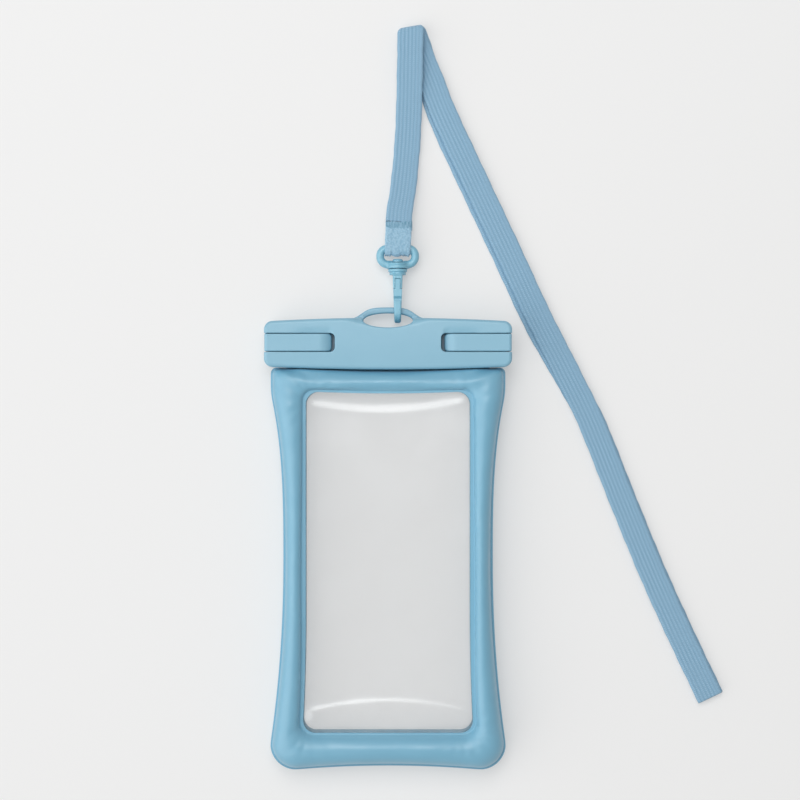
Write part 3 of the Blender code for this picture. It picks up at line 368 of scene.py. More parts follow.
def loft(name: str, points: Array, across: Array | None = None, along: Array | None = None) -> Mesh:
    """Closed skin over rows of closed loops, capped at both ends.

    Args:
        name: name of the mesh.
        points: array of (rows, cols, 3).
        across: first texture coordinate of each column, one more than there are columns.
        along: second texture coordinate of each row.

    Returns:
        The mesh, facing outward, with a UV map where the coordinates are given.
    """
    rows, cols = points.shape[:2]
    quads, at = grid_faces(rows, cols, close_rows=False)
    caps = [np.arange(cols), (rows - 1) * cols + np.arange(cols)[::-1]]
    mesh = fill_mesh(name, points.reshape(-1, 3), quads, caps)
    if across is not None and along is not None:
        uv = np.stack([across[at[..., 1]], along[at[..., 0]]], -1).reshape(-1, 2)
        first, last = (np.stack([across[:cols], np.full(cols, along[k])], -1) for k in (0, -1))
        uv = np.concatenate([uv, first, last[::-1]]).astype(np.float32)
        mesh.uv_layers.new(name="UVMap").data.foreach_set("uv", uv.ravel())
    face_out(mesh)
    return mesh


def moulding(name: str, field_of: Field, low: Vector, high: Vector, pitch: float) -> Mesh:
    """Closed skin of the places where a distance field is zero.

    The field is sampled on a grid. Each cell that the surface crosses gets one point, the
    mean of the crossings on its twelve edges, which then slides along the field's slope
    onto the surface. Each grid edge that is crossed joins the four cells around it.

    Args:
        name: name of the mesh.
        field_of: distance at arrays of x, y and z, negative inside.
        low: lowest corner of the space to look in.
        high: highest corner.
        pitch: spacing of the grid.

    Returns:
        The mesh, with the field's slope as its normals.
    """
    axes = [np.arange(a - 2 * pitch, b + 3 * pitch, pitch) for a, b in zip(low, high)]
    value = field_of(*np.meshgrid(*axes, indexing="ij"))
    inside = value < 0
    shape = np.array(value.shape) - 1
    corner = [(i, j, k) for i in (0, 1) for j in (0, 1) for k in (0, 1)]

    def cells(of: Array, step: tuple[int, int, int]) -> Array:
        """What the grid holds at one corner of every cell."""
        return of[tuple(slice(s, n + s) for s, n in zip(step, shape))]

    count = sum(cells(inside, step).astype(int) for step in corner)
    mixed = np.argwhere((count > 0) & (count < 8))
    number = np.full(shape, -1)
    number[tuple(mixed.T)] = np.arange(len(mixed))
    at_corner = np.stack([value[tuple((mixed + step).T)] for step in corner], 1)
    total = np.zeros((len(mixed), 3))
    hits = np.zeros(len(mixed))
    for a, first in enumerate(corner):
        for b, second in enumerate(corner):
            apart = [q - p for p, q in zip(first, second)]
            if sorted(apart) == [0, 0, 1]:
                fa, fb = at_corner[:, a], at_corner[:, b]
                crossed = (fa < 0) != (fb < 0)
                share = np.where(crossed, fa / np.where(crossed, fa - fb, 1.0), 0.0)
                place = np.array(first) + share[:, None] * np.array(apart)
                total += np.where(crossed[:, None], place, 0.0)
                hits += crossed
    origin = np.array([axis[0] for axis in axes])
    points = origin + (mixed + total / hits[:, None]) * pitch

    def slope(p: Array) -> Array:
        """The field's slope at points, from a small step each way."""
        step = pitch * 0.1
        return np.stack(
            [
                (field_of(*(p + step * e).T) - field_of(*(p - step * e).T)) / (2 * step)
                for e in np.eye(3)
            ],
            1,
        )

    for _ in range(3):
        g = slope(points)
        move = (field_of(*points.T) / np.maximum((g**2).sum(1), 0.1))[:, None] * g
        points -= np.clip(move, -0.5 * pitch, 0.5 * pitch)

    quads = []
    for axis in range(3):
        u, v = (k for k in range(3) if k != axis)
        lead = tuple(slice(1, -1) if k != axis else slice(None, -1) for k in range(3))
        far = tuple(slice(1, -1) if k != axis else slice(1, None) for k in range(3))
        change = inside[lead].astype(int) - inside[far].astype(int)
        edges = np.argwhere(change != 0)
        sign = change[tuple(edges.T)]
        base = edges + [0 if k == axis else 1 for k in range(3)]
        ring = []
        for du, dv in ((0, 0), (1, 0), (1, 1), (0, 1)):
            cell = base.copy()
            cell[:, u] -= du
            cell[:, v] -= dv
            ring.append(number[tuple(cell.T)])
        quad = np.stack(ring, 1)
        turn = (sign > 0) == (axis != 1)
        quads.append(np.where(turn[:, None], quad, quad[:, ::-1]))
    mesh = fill_mesh(name, points, np.concatenate(quads))
    face_out(mesh)
    normals = slope(points)
    normals /= np.maximum(np.linalg.norm(normals, axis=1), TINY)[:, None]
    mesh.normals_split_custom_set_from_vertices(normals.tolist())
    return mesh


# Finishes


class Graph:
    """Small helper that places and links the nodes of one material or world."""

    def __init__(self, owner: Material | bpy.types.World) -> None:
        """Turn on the nodes of a material or world, and find its shader."""
        owner.use_nodes = True
        self.owner = owner
        self.tree = owner.node_tree
        kinds = ("BSDF_PRINCIPLED", "BACKGROUND")
        self.shader = next(n for n in self.tree.nodes if n.type in kinds)

    @classmethod
    def of(cls, name: str) -> Graph:
        """Start a new material."""
        return cls(bpy.data.materials.new(name))

    def node(self, kind: str, **values: object) -> bpy.types.Node:
        """Add a node, with attributes given by name."""
        made = self.tree.nodes.new(kind)
        for key, value in values.items():
            setattr(made, key, value)
        return made

    def put(self, node: bpy.types.Node, name: str | int, value: object) -> None:
        """Set an input, or link it if the value is a socket."""
        if isinstance(value, Socket):
            self.tree.links.new(value, node.inputs[name])
        else:
            node.inputs[name].default_value = value

    def set(self, **values: object) -> None:
        """Set the shader's own inputs, their names written with underscores."""
        for key, value in values.items():
            self.put(self.shader, key.replace("_", " "), value)

    def place(self) -> Socket:
        """Object coordinates."""
        return self.node("ShaderNodeTexCoord").outputs["Object"]

    def uv(self) -> Socket:
        """The piece's own UV map."""
        return self.node("ShaderNodeTexCoord").outputs["UV"]

    def value(self, name: str) -> Socket:
        """A number stored at the mesh's points."""
        return self.node("ShaderNodeAttribute", attribute_name=name).outputs["Fac"]

    def noise(self, at: Socket, scale: float, detail: float = 2.0, rough: float = 0.5) -> Socket:
        """Noise at the given coordinates.

        Args:
            at: coordinates.
            scale: waves a metre.
            detail: number of finer octaves.
            rough: strength of each octave next to the one before.

        Returns:
            Value between 0 and 1.
        """
        made = self.node("ShaderNodeTexNoise")
        self.put(made, "Vector", at)
        self.put(made, "Scale", scale)
        self.put(made, "Detail", detail)
        self.put(made, "Roughness", rough)
        return made.outputs["Fac"]

    def sums(self, how: str, a: object, b: object = 0.0, c: object = 0.0) -> Socket:
        """One step of arithmetic.

        Args:
            how: name of the operation.
            a, b, c: what it works on, numbers or sockets.

        Returns:
            The result.
        """
        made = self.node("ShaderNodeMath", operation=how)
        for k, value in enumerate((a, b, c)):
            self.put(made, k, value)
        return made.outputs[0]

    def spread(
        self,
        value: Socket,
        low: float,
        high: float,
        to_low: float = 0.0,
        to_high: float = 1.0,
    ) -> Socket:
        """Smooth step of a value from one range to another.

        Args:
            value: what is mapped.
            low, high: ends of its range; low may be the larger.
            to_low, to_high: what they become.

        Returns:
            The mapped value.
        """
        made = self.node("ShaderNodeMapRange", interpolation_type="SMOOTHSTEP")
        ends = {"From Min": low, "From Max": high, "To Min": to_low, "To Max": to_high}
        for name, number in {"Value": value, **ends}.items():
            self.put(made, name, number)
        return made.outputs["Result"]

    def mix(self, share: object, a: object, b: object) -> Socket:
        """Mix of two colours.

        Args:
            share: how much of the second colour there is.
            a, b: the colours, or sockets.

        Returns:
            The mixed colour.
        """
        made = self.node("ShaderNodeMix", data_type="RGBA")
        self.put(made, 0, share)
        self.put(made, 6, (*a, 1.0) if isinstance(a, tuple) else a)
        self.put(made, 7, (*b, 1.0) if isinstance(b, tuple) else b)
        return made.outputs[2]

    def bump(self, height: object, depth: float, under: Socket | None = None) -> Socket:
        """Normal bent by a height.

        Args:
            height: value that counts as height.
            depth: what a height of 1 stands for, in metres.
            under: normal to start from.

        Returns:
            The bent normal.
        """
        made = self.node("ShaderNodeBump")
        self.put(made, "Height", height)
        self.put(made, "Distance", depth)
        self.put(made, "Strength", 1.0)
        if under is not None:
            self.put(made, "Normal", under)
        return made.outputs["Normal"]


@dataclass(frozen=True)
class SatinMoulding:
    """Soft satin moulding with a fine eroded grain and slow cloudy variation, and a painted shade
    colour mixed in by each point's 'depth' value.
    """

    name: str
    colour: Colour
    cloud: Colour
    # colour of the painted shade, which the mesh's 'depth' value mixes in
    painted_shade_colour: Colour = (0.030, 0.100, 0.160)
    roughness: float = 0.42
    grain: float = 0.012 * MM
    grain_scale: float = 2600.0
    cloud_scale: float = 38.0
    rub_scale: float = 260.0

    def build(self) -> Material:
        """Wire the nodes of the finish.

        Returns:
            The material.
        """
        g = Graph.of(self.name)
        at = g.place()
        fine = g.noise(at, self.grain_scale, 2.0, 0.6)
        soft = g.noise(at, self.rub_scale, 2.0)
        slow = g.noise(at, self.cloud_scale, 3.0)
        face = g.mix(g.spread(slow, 0.32, 0.68), self.colour, self.cloud)
        # painted shade: the face colour goes toward the shade colour where the mesh's 'depth' value
        # is high
        g.set(
            Base_Color=g.mix(g.value("depth"), face, self.painted_shade_colour),
            Roughness=g.spread(soft, 0.3, 0.7, self.roughness - 0.02, self.roughness + 0.03),
            Specular_IOR_Level=1.0,
            Normal=g.bump(fine, self.grain, g.bump(soft, self.grain * 2)),
        )
        return g.owner


@dataclass(frozen=True)
class SoftVinyl:
    """Inflated vinyl: satin, faintly pebbled, with a soft sheen from its plasticiser, and a painted
    shade colour mixed in by each point's 'depth' value.
    """

    name: str = "frame_vinyl_finish"
    colour: Colour = (0.168, 0.422, 0.580)
    cloud: Colour = (0.156, 0.406, 0.563)
    # colour of the painted shade
    painted_shade_colour: Colour = (0.058, 0.255, 0.410)
    roughness: float = 0.42
    cloud_scale: float = 30.0
    pebble_scale: float = 900.0
    pebble_depth: float = 0.012 * MM
    ripple_scale: float = 120.0
    ripple_depth: float = 0.10 * MM

    def build(self) -> Material:
        """Wire the nodes of the finish.

        Returns:
            The material.
        """
        g = Graph.of(self.name)
        at = g.place()
        pebble = g.noise(at, self.pebble_scale, 3.0, 0.55)
        ripple = g.noise(at, self.ripple_scale, 2.0)
        slow = g.noise(at, self.cloud_scale, 3.0)
        skin = g.mix(g.spread(slow, 0.3, 0.7), self.colour, self.cloud)
        # painted shade mixed in by the mesh's 'depth' value
        g.set(
            Base_Color=g.mix(g.value("depth"), skin, self.painted_shade_colour),
            Roughness=g.spread(ripple, 0.3, 0.7, self.roughness - 0.05, self.roughness + 0.05),
            Specular_IOR_Level=1.0,
            Sheen_Weight=0.15,
            Sheen_Roughness=0.5,
            Normal=g.bump(pebble, self.pebble_depth, g.bump(ripple, self.ripple_depth)),
        )
        return g.owner


@dataclass(frozen=True)
class ClearFilm:
    """Clear film: a thin mirror whose strength follows Fresnel, with faint haze."""

    name: str = "window_film_finish"
    colour: Colour = (0.93, 0.955, 0.965)
    index: float = 1.58
    haze: float = 0.018
    smear_scale: float = 55.0
    ripple_scale: float = 90.0
    ripple_depth: float = 0.05 * MM

    def build(self) -> Material:
        """Wire the nodes of the finish.

        Returns:
            The material.
        """
        g = Graph.of(self.name)
        at = g.place()
        fresnel = g.node("ShaderNodeFresnel")
        behind = g.node("ShaderNodeNewGeometry").outputs["Backfacing"]
        inward = 1 / self.index - self.index
        g.put(fresnel, "IOR", g.sums("MULTIPLY_ADD", behind, inward, self.index))
        smear = g.noise(at, self.smear_scale, 3.0)
        haze = g.spread(smear, 0.35, 0.75, self.haze * 0.5, self.haze * 1.6)
        g.set(
            Base_Color=(*self.colour, 1.0),
            Metallic=1.0,
            Roughness=g.spread(smear, 0.3, 0.7, 0.17, 0.24),
            Alpha=g.sums("ADD", fresnel.outputs[0], haze),
            Normal=g.bump(g.noise(at, self.ripple_scale, 2.0), self.ripple_depth),
        )
        return g.owner


@dataclass(frozen=True)
class KnitWebbing:
    """Flat knitted webbing: ribs along it, each a column of small V stitches."""

    name: str
    colour: Colour
    shadow: Colour
    ribs: int = 7
    stitch: float = 0.92 * MM
    depth: float = 0.07 * MM
    slant: float = 0.55
    wander: float = 0.5
    wander_scale: float = 300.0
    patch_scale: float = 140.0
    fuzz_scale: float = 4200.0

    def build(self) -> Material:
        """Wire the nodes of the finish.

        Returns:
            The material.
        """
        g = Graph.of(self.name)
        apart = g.node("ShaderNodeSeparateXYZ")
        g.put(apart, 0, g.uv())
        across = g.sums("MULTIPLY", apart.outputs["X"], float(self.ribs))
        in_rib = g.sums("FRACT", across)
        off = g.sums("MULTIPLY", g.sums("ABSOLUTE", g.sums("SUBTRACT", in_rib, 0.5)), 2.0)
        wobble = g.noise(g.place(), self.wander_scale, 2.0)
        rows = g.sums("DIVIDE", apart.outputs["Y"], self.stitch)
        slanted = g.sums("ADD", rows, g.sums("MULTIPLY", off, self.slant))
        phase = g.sums("ADD", slanted, g.sums("MULTIPLY", wobble, self.wander))
        wave = g.sums("MULTIPLY_ADD", g.sums("SINE", g.sums("MULTIPLY", phase, math.tau)), 0.5, 0.5)
        crest = g.spread(off, 0.90, 0.20)
        plain = g.spread(apart.outputs["X"], 0.68, 0.82, 1.0, 0.3)
        patchy = g.spread(g.noise(g.place(), self.patch_scale, 2.0), 0.35, 0.65, 0.65, 1.0)
        stitches = g.sums("MULTIPLY", wave, g.sums("MULTIPLY_ADD", crest, 0.8, 0.2))
        fuzz = g.noise(g.place(), self.fuzz_scale, 3.0, 0.7)
        light = g.sums("MULTIPLY_ADD", stitches, 0.52, g.sums("MULTIPLY", crest, 0.15))
        relief = g.sums("MULTIPLY", plain, patchy)
        light = g.sums("MULTIPLY_ADD", g.sums("SUBTRACT", light, 0.26), relief, 0.33)
        light = g.sums("MULTIPLY_ADD", fuzz, 0.24, light)
        g.set(
            Base_Color=g.mix(light, self.shadow, self.colour),
            Roughness=0.82,
            Specular_IOR_Level=0.3,
            Sheen_Weight=0.35,
            Sheen_Roughness=0.45,
            Normal=g.bump(g.sums("MULTIPLY_ADD", fuzz, 0.35, stitches), self.depth),
        )
        return g.owner


@dataclass(frozen=True)
class FuzzyKnit:
    """Brushed knit of the sewn end: small loops without ribs."""

    name: str = "sewn_end_finish"
    colour: Colour = (0.415, 0.635, 0.790)
    shadow: Colour = (0.220, 0.415, 0.570)
    loop_scale: float = 1150.0
    fuzz_scale: float = 2600.0
    depth: float = 0.12 * MM

    def build(self) -> Material:
        """Wire the nodes of the finish.

        Returns:
            The material.
        """
        g = Graph.of(self.name)
        at = g.place()
        cells = g.node("ShaderNodeTexVoronoi", feature="SMOOTH_F1")
        g.put(cells, "Vector", at)
        g.put(cells, "Scale", self.loop_scale)
        fuzz = g.noise(at, self.fuzz_scale, 3.0, 0.7)
        loops = g.spread(cells.outputs["Distance"], 0.75, 0.15)
        light = g.sums("MULTIPLY_ADD", fuzz, 0.5, g.sums("MULTIPLY", loops, 0.5))
        g.set(
            Base_Color=g.mix(light, self.shadow, self.colour),
            Roughness=0.88,
            Specular_IOR_Level=0.25,
            Sheen_Weight=0.4,
            Sheen_Roughness=0.5,
            Normal=g.bump(g.sums("MULTIPLY_ADD", fuzz, 0.6, loops), self.depth),
        )
        return g.owner


@dataclass(frozen=True)
class ThreadBand:
    """Rows of thread drawn tight: fine streaks along the webbing over a fuzzy ground."""

    name: str = "stitch_finish"
    colour: Colour = (0.330, 0.530, 0.675)
    shadow: Colour = (0.120, 0.290, 0.415)
    streak_scale: tuple[float, float, float] = (2100.0, 330.0, 2100.0)
    fuzz_scale: float = 3200.0
    depth: float = 0.10 * MM

    def build(self) -> Material:
        """Wire the nodes of the finish.

        Returns:
            The material.
        """
        g = Graph.of(self.name)
        at = g.place()
        drawn = g.node("ShaderNodeVectorMath", operation="MULTIPLY")
        g.put(drawn, 0, at)
        g.put(drawn, 1, self.streak_scale)
        streaks = g.noise(drawn.outputs[0], 1.0, 3.0, 0.6)
        fuzz = g.noise(at, self.fuzz_scale, 3.0, 0.7)
        light = g.sums("MULTIPLY_ADD", fuzz, 0.35, g.sums("MULTIPLY", streaks, 0.65))
        g.set(
            Base_Color=g.mix(g.spread(light, 0.36, 0.62), self.shadow, self.colour),
            Roughness=0.86,
            Specular_IOR_Level=0.3,
            Sheen_Weight=0.3,
            Sheen_Roughness=0.5,
            Normal=g.bump(g.sums("MULTIPLY_ADD", fuzz, 0.5, streaks), self.depth),
        )
        return g.owner


@dataclass(frozen=True)
class PlainSolid:
    """Steel pins and rubber strips: one colour with fine brushed or rubbed marks."""

    name: str
    colour: Colour
    roughness: float
    metallic: float = 0.0
    mark_scale: float = 1500.0
    mark_depth: float = 0.004 * MM

    def build(self) -> Material:
        """Wire the nodes of the finish.

        Returns:
            The material.
        """
        g = Graph.of(self.name)
        marks = g.noise(g.place(), self.mark_scale, 2.0, 0.6)
        dark = tuple(0.9 * c for c in self.colour)
        g.set(
            Base_Color=g.mix(marks, dark, self.colour),
            Roughness=g.spread(marks, 0.3, 0.7, self.roughness - 0.05, self.roughness + 0.08),
            Metallic=self.metallic,
            Normal=g.bump(marks, self.mark_depth),
        )
        return g.owner


# Sub-assemblies


def corners_of(node: str) -> tuple[Vector, Vector]:
    """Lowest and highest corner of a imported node."""
    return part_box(node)


def middle_of(node: str, axis: int) -> float:
    """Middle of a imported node's box along one axis."""
    low, high = corners_of(node)
    return (low[axis] + high[axis]) / 2


MID_Z = (corners_of("front_window")[0].z + corners_of("back_window")[1].z) / 2


@dataclass
class BarPlan:
    """Outline that both clamp bars and the frame's top share."""

    half: float = corners_of("front_bar")[1].x
    mid_y: float = 91.3 * MM
    height: float = 21.2 * MM
    top_crown: float = 1.7 * MM
    bottom_crown: float = 1.3 * MM
    radius: float = 3.8 * MM
    fillet: float = 1.6 * MM
    front_z: float = corners_of("front_bar")[1].z
    front_low_z: float = corners_of("front_bar")[0].z
    back_z: float = corners_of("back_bar")[0].z
    gap: float = 1.8 * MM
    eyelet_half_x: float = 11.65 * MM
    eyelet_half_y: float = 3.45 * MM
    eyelet_over: float = 0.56 * MM

    @property
    def back_top_z(self) -> float:
        """Inner face of the back bar."""
        return self.front_low_z - self.gap

    @property
    def top_y(self) -> float:
        """Upper edge at the ends."""
        return self.mid_y + self.height / 2

    @property
    def bottom_y(self) -> float:
        """Lower edge at the ends."""
        return self.mid_y - self.height / 2

    @property
    def eyelet_y(self) -> float:
        """Height of the eyelet's middle."""
        return self.top_y + self.eyelet_over

    def edges(self, x: Array | float) -> tuple[Array, Array]:
        """Lower and upper edge at x: straight ends plus a parabola of the crown."""
        share = 1 - (x / self.half) ** 2
        return self.bottom_y - self.bottom_crown * share, self.top_y + self.top_crown * share

    def distance(self, x: Array, y: Array) -> Array:
        """Plan distance to the bar's outline."""
        low, high = self.edges(np.clip(x, -self.half, self.half))
        return box_distance(x, y - (low + high) / 2, self.half, (high - low) / 2, self.radius)

    def eyelet(self, x: Array, y: Array) -> Array:
        """Plan distance to the eyelet's lens."""
        return ellipse_distance(x, y - self.eyelet_y, self.eyelet_half_x, self.eyelet_half_y)


PLAN = BarPlan()


@dataclass
class Latches:
    """The two flip latches."""

    finish: Material
    length: float = 31.9 * MM
    half_y: float = 4.1 * MM
    above_mid: float = 0.7 * MM
    thick: float = 3.0 * MM
    leg: float = 2.6 * MM
    armpit: float = 1.0 * MM
    tip_drop: float = 2.5 * MM
    tip_run: float = 6.5 * MM
    tip_bend: float = 2.3
    tip_corner: float = 2.2 * MM
    heel_corner: float = 0.6 * MM
    edge: float = 0.55 * MM
    hinge_in: float = 2.8 * MM
    knuckle: float = 2.6 * MM
    pin_r: float = 1.0 * MM
    bore_edge: float = 0.1 * MM
    # painted shade on the latch's sloping tip: its strength, how far below the face it starts, and
    # how far back from the tip it runs
    shade: float = 0.85
    shade_below: float = 1.5 * MM
    shade_run: float = 1.2 * MM
    pitch: float = 0.26 * MM

    @property
    def tip(self) -> float:
        """Distance of the tip from the bar's middle."""
        return PLAN.half - self.length

    @property
    def mid_y(self) -> float:
        """Height of the latches' middle line."""
        return PLAN.mid_y + self.above_mid

    @property
    def top_z(self) -> float:
        """Face of the closed latch."""
        return corners_of("latch_right")[1].z

    @property
    def hinge(self) -> tuple[float, float]:
        """Distance from the middle and height of the hinge axis."""
        return PLAN.half - self.hinge_in, PLAN.back_z + self.knuckle + 2 * FIT

    def profile(self) -> Array:
        """Section along the bar: sloping tip, arm, heel, leg, knuckle and armpit.

        Returns:
            Corners of a closed outline, (n, 2): distance from the bar's middle, and height.
        """
        leg_in = PLAN.half - self.leg
        under = self.top_z - self.thick
        hx, hz = self.hinge
        s = np.linspace(0, 1, 12)
        slope_z = self.top_z - self.tip_drop * (1 - s) ** self.tip_bend
        slope = np.stack([self.tip + self.tip_run * s, slope_z], 1)
        heel = arc((PLAN.half - PLAN.fillet, self.top_z - PLAN.fillet), PLAN.fillet, 90, 0, 10)
        out = math.degrees(math.acos(min((PLAN.half - hx) / self.knuckle, 1.0)))
        inward = math.degrees(math.acos((leg_in - hx) / self.knuckle))
        knuckle = arc((hx, hz), self.knuckle, out, inward - 360, 40)
        armpit = arc((leg_in - self.armpit, under - self.armpit), self.armpit, 0, 90, 8)
        return np.vstack([[(self.tip, under)], slope, heel, knuckle, armpit])

    def build(self, side: Side) -> Piece:
        """Make one latch.

        Args:
            side: which end of the bar.

        Returns:
            The piece, riding on the latch's body.
        """
        outline = self.profile()
        hx, hz = self.hinge
        middle = PLAN.half - self.length / 2

        def field_of(x: Array, y: Array, z: Array) -> Array:
            """Distance, negative in the latch."""
            out = x * side.value
            corner = np.where(out < middle, self.tip_corner, self.heel_corner)
            plan = box_distance(out - middle, y - self.mid_y, self.length / 2, self.half_y, corner)
            arm = round_max(polygon_distance(out, z, outline), plan, self.edge)
            bore = np.hypot(out - hx, z - hz) - self.pin_r - FIT
            return round_max(arm, -bore, self.bore_edge)

        node = f"latch_{side.word}"
        low, high = corners_of(node)
        margin = Vector((MM, 0, 0))
        mesh = moulding(f"{node}_skin", field_of, low - margin, high + margin, self.pitch)
        x, _, z = points_of(mesh).T
        # painted shade: the sloping tip below the face, stored as the 'depth' value that darkens
        # the finish
        below = ease((self.top_z - self.shade_below - z) / MM)
        at_tip = ease((self.tip + self.shade_run - x * side.value) / MM)
        tone(mesh, "depth", self.shade * below * at_tip)
        body = f"{side.word}_latch"
        return stand_in(f"{node}_skin", mesh, self.finish, body, node)


@dataclass
class ClampBars:
    """The two clamp bars, with channels, hinge slots, pegs, seal grooves and the eyelet."""

    finish: Material
    latches: Latches
    edge: float = 0.35 * MM
    eyelet_edge: float = 0.9 * MM
    eyelet_fillet: float = 2.4 * MM
    channel_edge: float = 0.22 * MM
    leg_gap: float = 0.4 * MM
    leg_edge: float = 0.15 * MM
    slot_edge: float = 0.2 * MM
    slot_past: float = 3.0 * MM
    slot_corner: float = 0.6 * MM
    channel_corner: float = 2.3 * MM
    finger_gap: float = 1.25 * MM
    finger_well: float = 1.0 * MM
    face_crown: float = 0.25 * MM
    dish: float = 0.55 * MM
    dish_width: float = 2.0 * MM
    arch_half_z: float = 1.4 * MM
    arch_round: float = 1.0 * MM
    arch_root: float = 4.0 * MM
    arch_edge: list[tuple[float, float]] = field(default_factory=lambda: [
        (0.0, 6.90), (3.2, 6.86), (6.4, 6.62), (9.0, 6.02), (10.9, 5.10),
        (12.6, 3.95), (14.4, 2.75), (16.4, 1.75), (18.4, 1.20), (20.0, 1.00),
    ])
    peg_x: float = 49.0 * MM
    peg_off: float = 5.5 * MM
    peg_r: float = 1.3 * MM
    peg_depth: float = 2.2 * MM
    peg_root: float = 2.0 * MM
    peg_edge: float = 0.1 * MM
    seal_half_x: float = 49.5 * MM
    seal_half_y: float = 2.2 * MM
    seal_depth: float = 1.1 * MM
    seal_below: float = 3.5 * MM
    pitch: float = 0.42 * MM

    @property
    def channel_in(self) -> float:
        """Distance of each channel's inner end from the bar's middle."""
        return self.latches.tip - self.finger_gap

    def seal_groove(self, x: Array, y: Array, z: Array, face: float, way: float) -> Array:
        """Distance to the groove that opens in an inner face.

        Args:
            x, y, z: coordinates.
            face: height of the inner face.
            way: +1 where the face looks up, -1 where it looks down.

        Returns:
            Distance, negative in the groove.
        """
        up = y - PLAN.mid_y + self.seal_below
        half_x, half_y = self.seal_half_x + FIT, self.seal_half_y + FIT
        plan = box_distance(x, up, half_x, half_y, self.seal_half_y)
        return np.maximum(plan, (face - z) * way - self.seal_depth - FIT)

    def peg(self, x: Array, y: Array, radius: float) -> Array:
        """Plan distance to the two pegs."""
        return np.hypot(np.abs(x) - self.peg_x, y - PLAN.mid_y - self.peg_off) - radius

    def hinge_slot(self, x: Array, y: Array, inner: float, corner: float) -> Array:
        """Plan distance to the slots at both ends of a bar.

        Args:
            x, y: coordinates.
            inner: where a slot begins, from the bar's middle; it runs out past the end.
            corner: radius of its inner corners.

        Returns:
            Distance, negative in the slots.
        """
        past = PLAN.half + self.slot_past
        half_y = self.latches.half_y + FIT
        middle, half_x = (past + inner) / 2, (past - inner) / 2
        return box_distance(np.abs(x) - middle, y - self.latches.mid_y, half_x, half_y, corner)

    def front_field(self, x: Array, y: Array, z: Array) -> Array:
        """Front bar: crowned plate, fillet deeper at the eyelet's ends, dished at the latches.

        Args:
            x, y, z: coordinates.

        Returns:
            Distance, negative in the bar.
        """
        low, high = PLAN.edges(x)
        middle = (low + high) / 2
        tip, out = self.latches.tip, np.abs(x)
        over = y - (self.latches.mid_y + self.latches.half_y)
        along = ease((out - tip + 1 * MM) / (3 * MM)) * ease((tip + 21 * MM - out) / (12 * MM))
        top = PLAN.front_z - self.face_crown * ((y - middle) / (PLAN.height / 2)) ** 2
        top = top - self.dish * along * hump(over, self.dish_width) * (over > -1 * MM)
        near = hump(out - PLAN.eyelet_half_x, 5 * MM) + 0.5 * hump(x, 10 * MM)
        fillet = PLAN.fillet + self.eyelet_fillet * near * ease((y - middle) / (6 * MM))
        body = round_max(PLAN.distance(x, y), z - top, fillet)
        body = round_max(body, PLAN.front_low_z - z, self.edge)
        body = round_max(body, -PLAN.eyelet(x, y), self.eyelet_edge)
        under = self.latches.top_z - self.latches.thick - FIT
        floor = under - self.finger_well * ease((tip + 1.5 * MM - out) / MM)
        channel = np.maximum(self.hinge_slot(x, y, self.channel_in, self.channel_corner), floor - z)
        body = round_max(body, -channel, self.channel_edge)
        leg_in = PLAN.half - self.latches.leg - self.leg_gap
        body = round_max(body, -self.hinge_slot(x, y, leg_in, self.slot_corner), self.leg_edge)
        body = np.maximum(body, -self.seal_groove(x, y, z, PLAN.front_low_z, -1.0))
        roof = z - PLAN.front_low_z - self.peg_depth - FIT
        holes = np.maximum(self.peg(x, y, self.peg_r + FIT), roof)
        return round_max(body, -holes, self.peg_edge)

    def arch(self, x: Array, y: Array, z: Array) -> Array:
        """Distance to the eyelet's arch, whose feet run out in an S along the bar's top.

        Args:
            x, y, z: coordinates.

        Returns:
            Distance, negative in the arch.
        """
        line = smooth_line(self.arch_edge, 240) * MM
        steep = np.gradient(line[:, 1], line[:, 0])
        out = np.abs(x)
        top = PLAN.top_y + np.interp(out, line[:, 0], line[:, 1])
        plan = (y - top) / np.hypot(1, np.interp(out, line[:, 0], steep))
        plan = np.maximum(plan, out - line[-1, 0])
        plan = np.maximum(plan, PLAN.mid_y + self.arch_root - y)
        flat = np.abs(z - middle_of("swivel_ring", 2)) - self.arch_half_z
        return round_max(plan, flat, self.arch_round)

    def back_field(self, x: Array, y: Array, z: Array) -> Array:
        """Back bar with its arch, pegs, slots and pin holes.

        Args:
            x, y, z: coordinates.

        Returns:
            Distance, negative in the bar.
        """
        body = round_max(PLAN.distance(x, y), PLAN.back_z - z, PLAN.fillet)
        body = round_max(body, z - PLAN.back_top_z, self.edge)
        body = blend_min(body, self.arch(x, y, z), self.arch_round)
        body = round_max(body, -PLAN.eyelet(x, y), self.eyelet_edge)
        pegs = np.maximum(self.peg(x, y, self.peg_r), z - PLAN.front_low_z - self.peg_depth)
        pegs = np.maximum(pegs, PLAN.back_z + self.peg_root - z)
        body = np.minimum(body, pegs)
        hx, hz = self.latches.hinge
        slot = self.hinge_slot(x, y, hx - self.latches.knuckle - FIT, self.slot_corner)
        body = round_max(body, -slot, self.slot_edge)
        pin = np.hypot(np.abs(x) - hx, z - hz) - self.latches.pin_r - FIT
        pin = np.maximum(pin, y - corners_of("latch_pin_right")[1].y - FIT)
        body = np.maximum(body, -pin)
        return np.maximum(body, -self.seal_groove(x, y, z, PLAN.back_top_z, 1.0))

    def painted_recess_shade(self, x: Array, y: Array, z: Array) -> Array:
        """Painted shade in the front bar's channels, most under a latch's tip.

        Args:
            x, y, z: coordinates.

        Returns:
            Strength of the painted shade, from 0 to 0.95.
        """
        inner = self.channel_in
        inside = ease((FIT - self.hinge_slot(x, y, inner, self.channel_corner)) / FIT)
        inside = inside * (0.12 + 0.88 * ease((inner + 2.4 * MM - np.abs(x)) / (1.2 * MM)))
        below = ease((PLAN.front_z - 1.0 * MM - z) / (1.6 * MM)) * (z > PLAN.front_low_z + MM)
        return 0.95 * inside * below

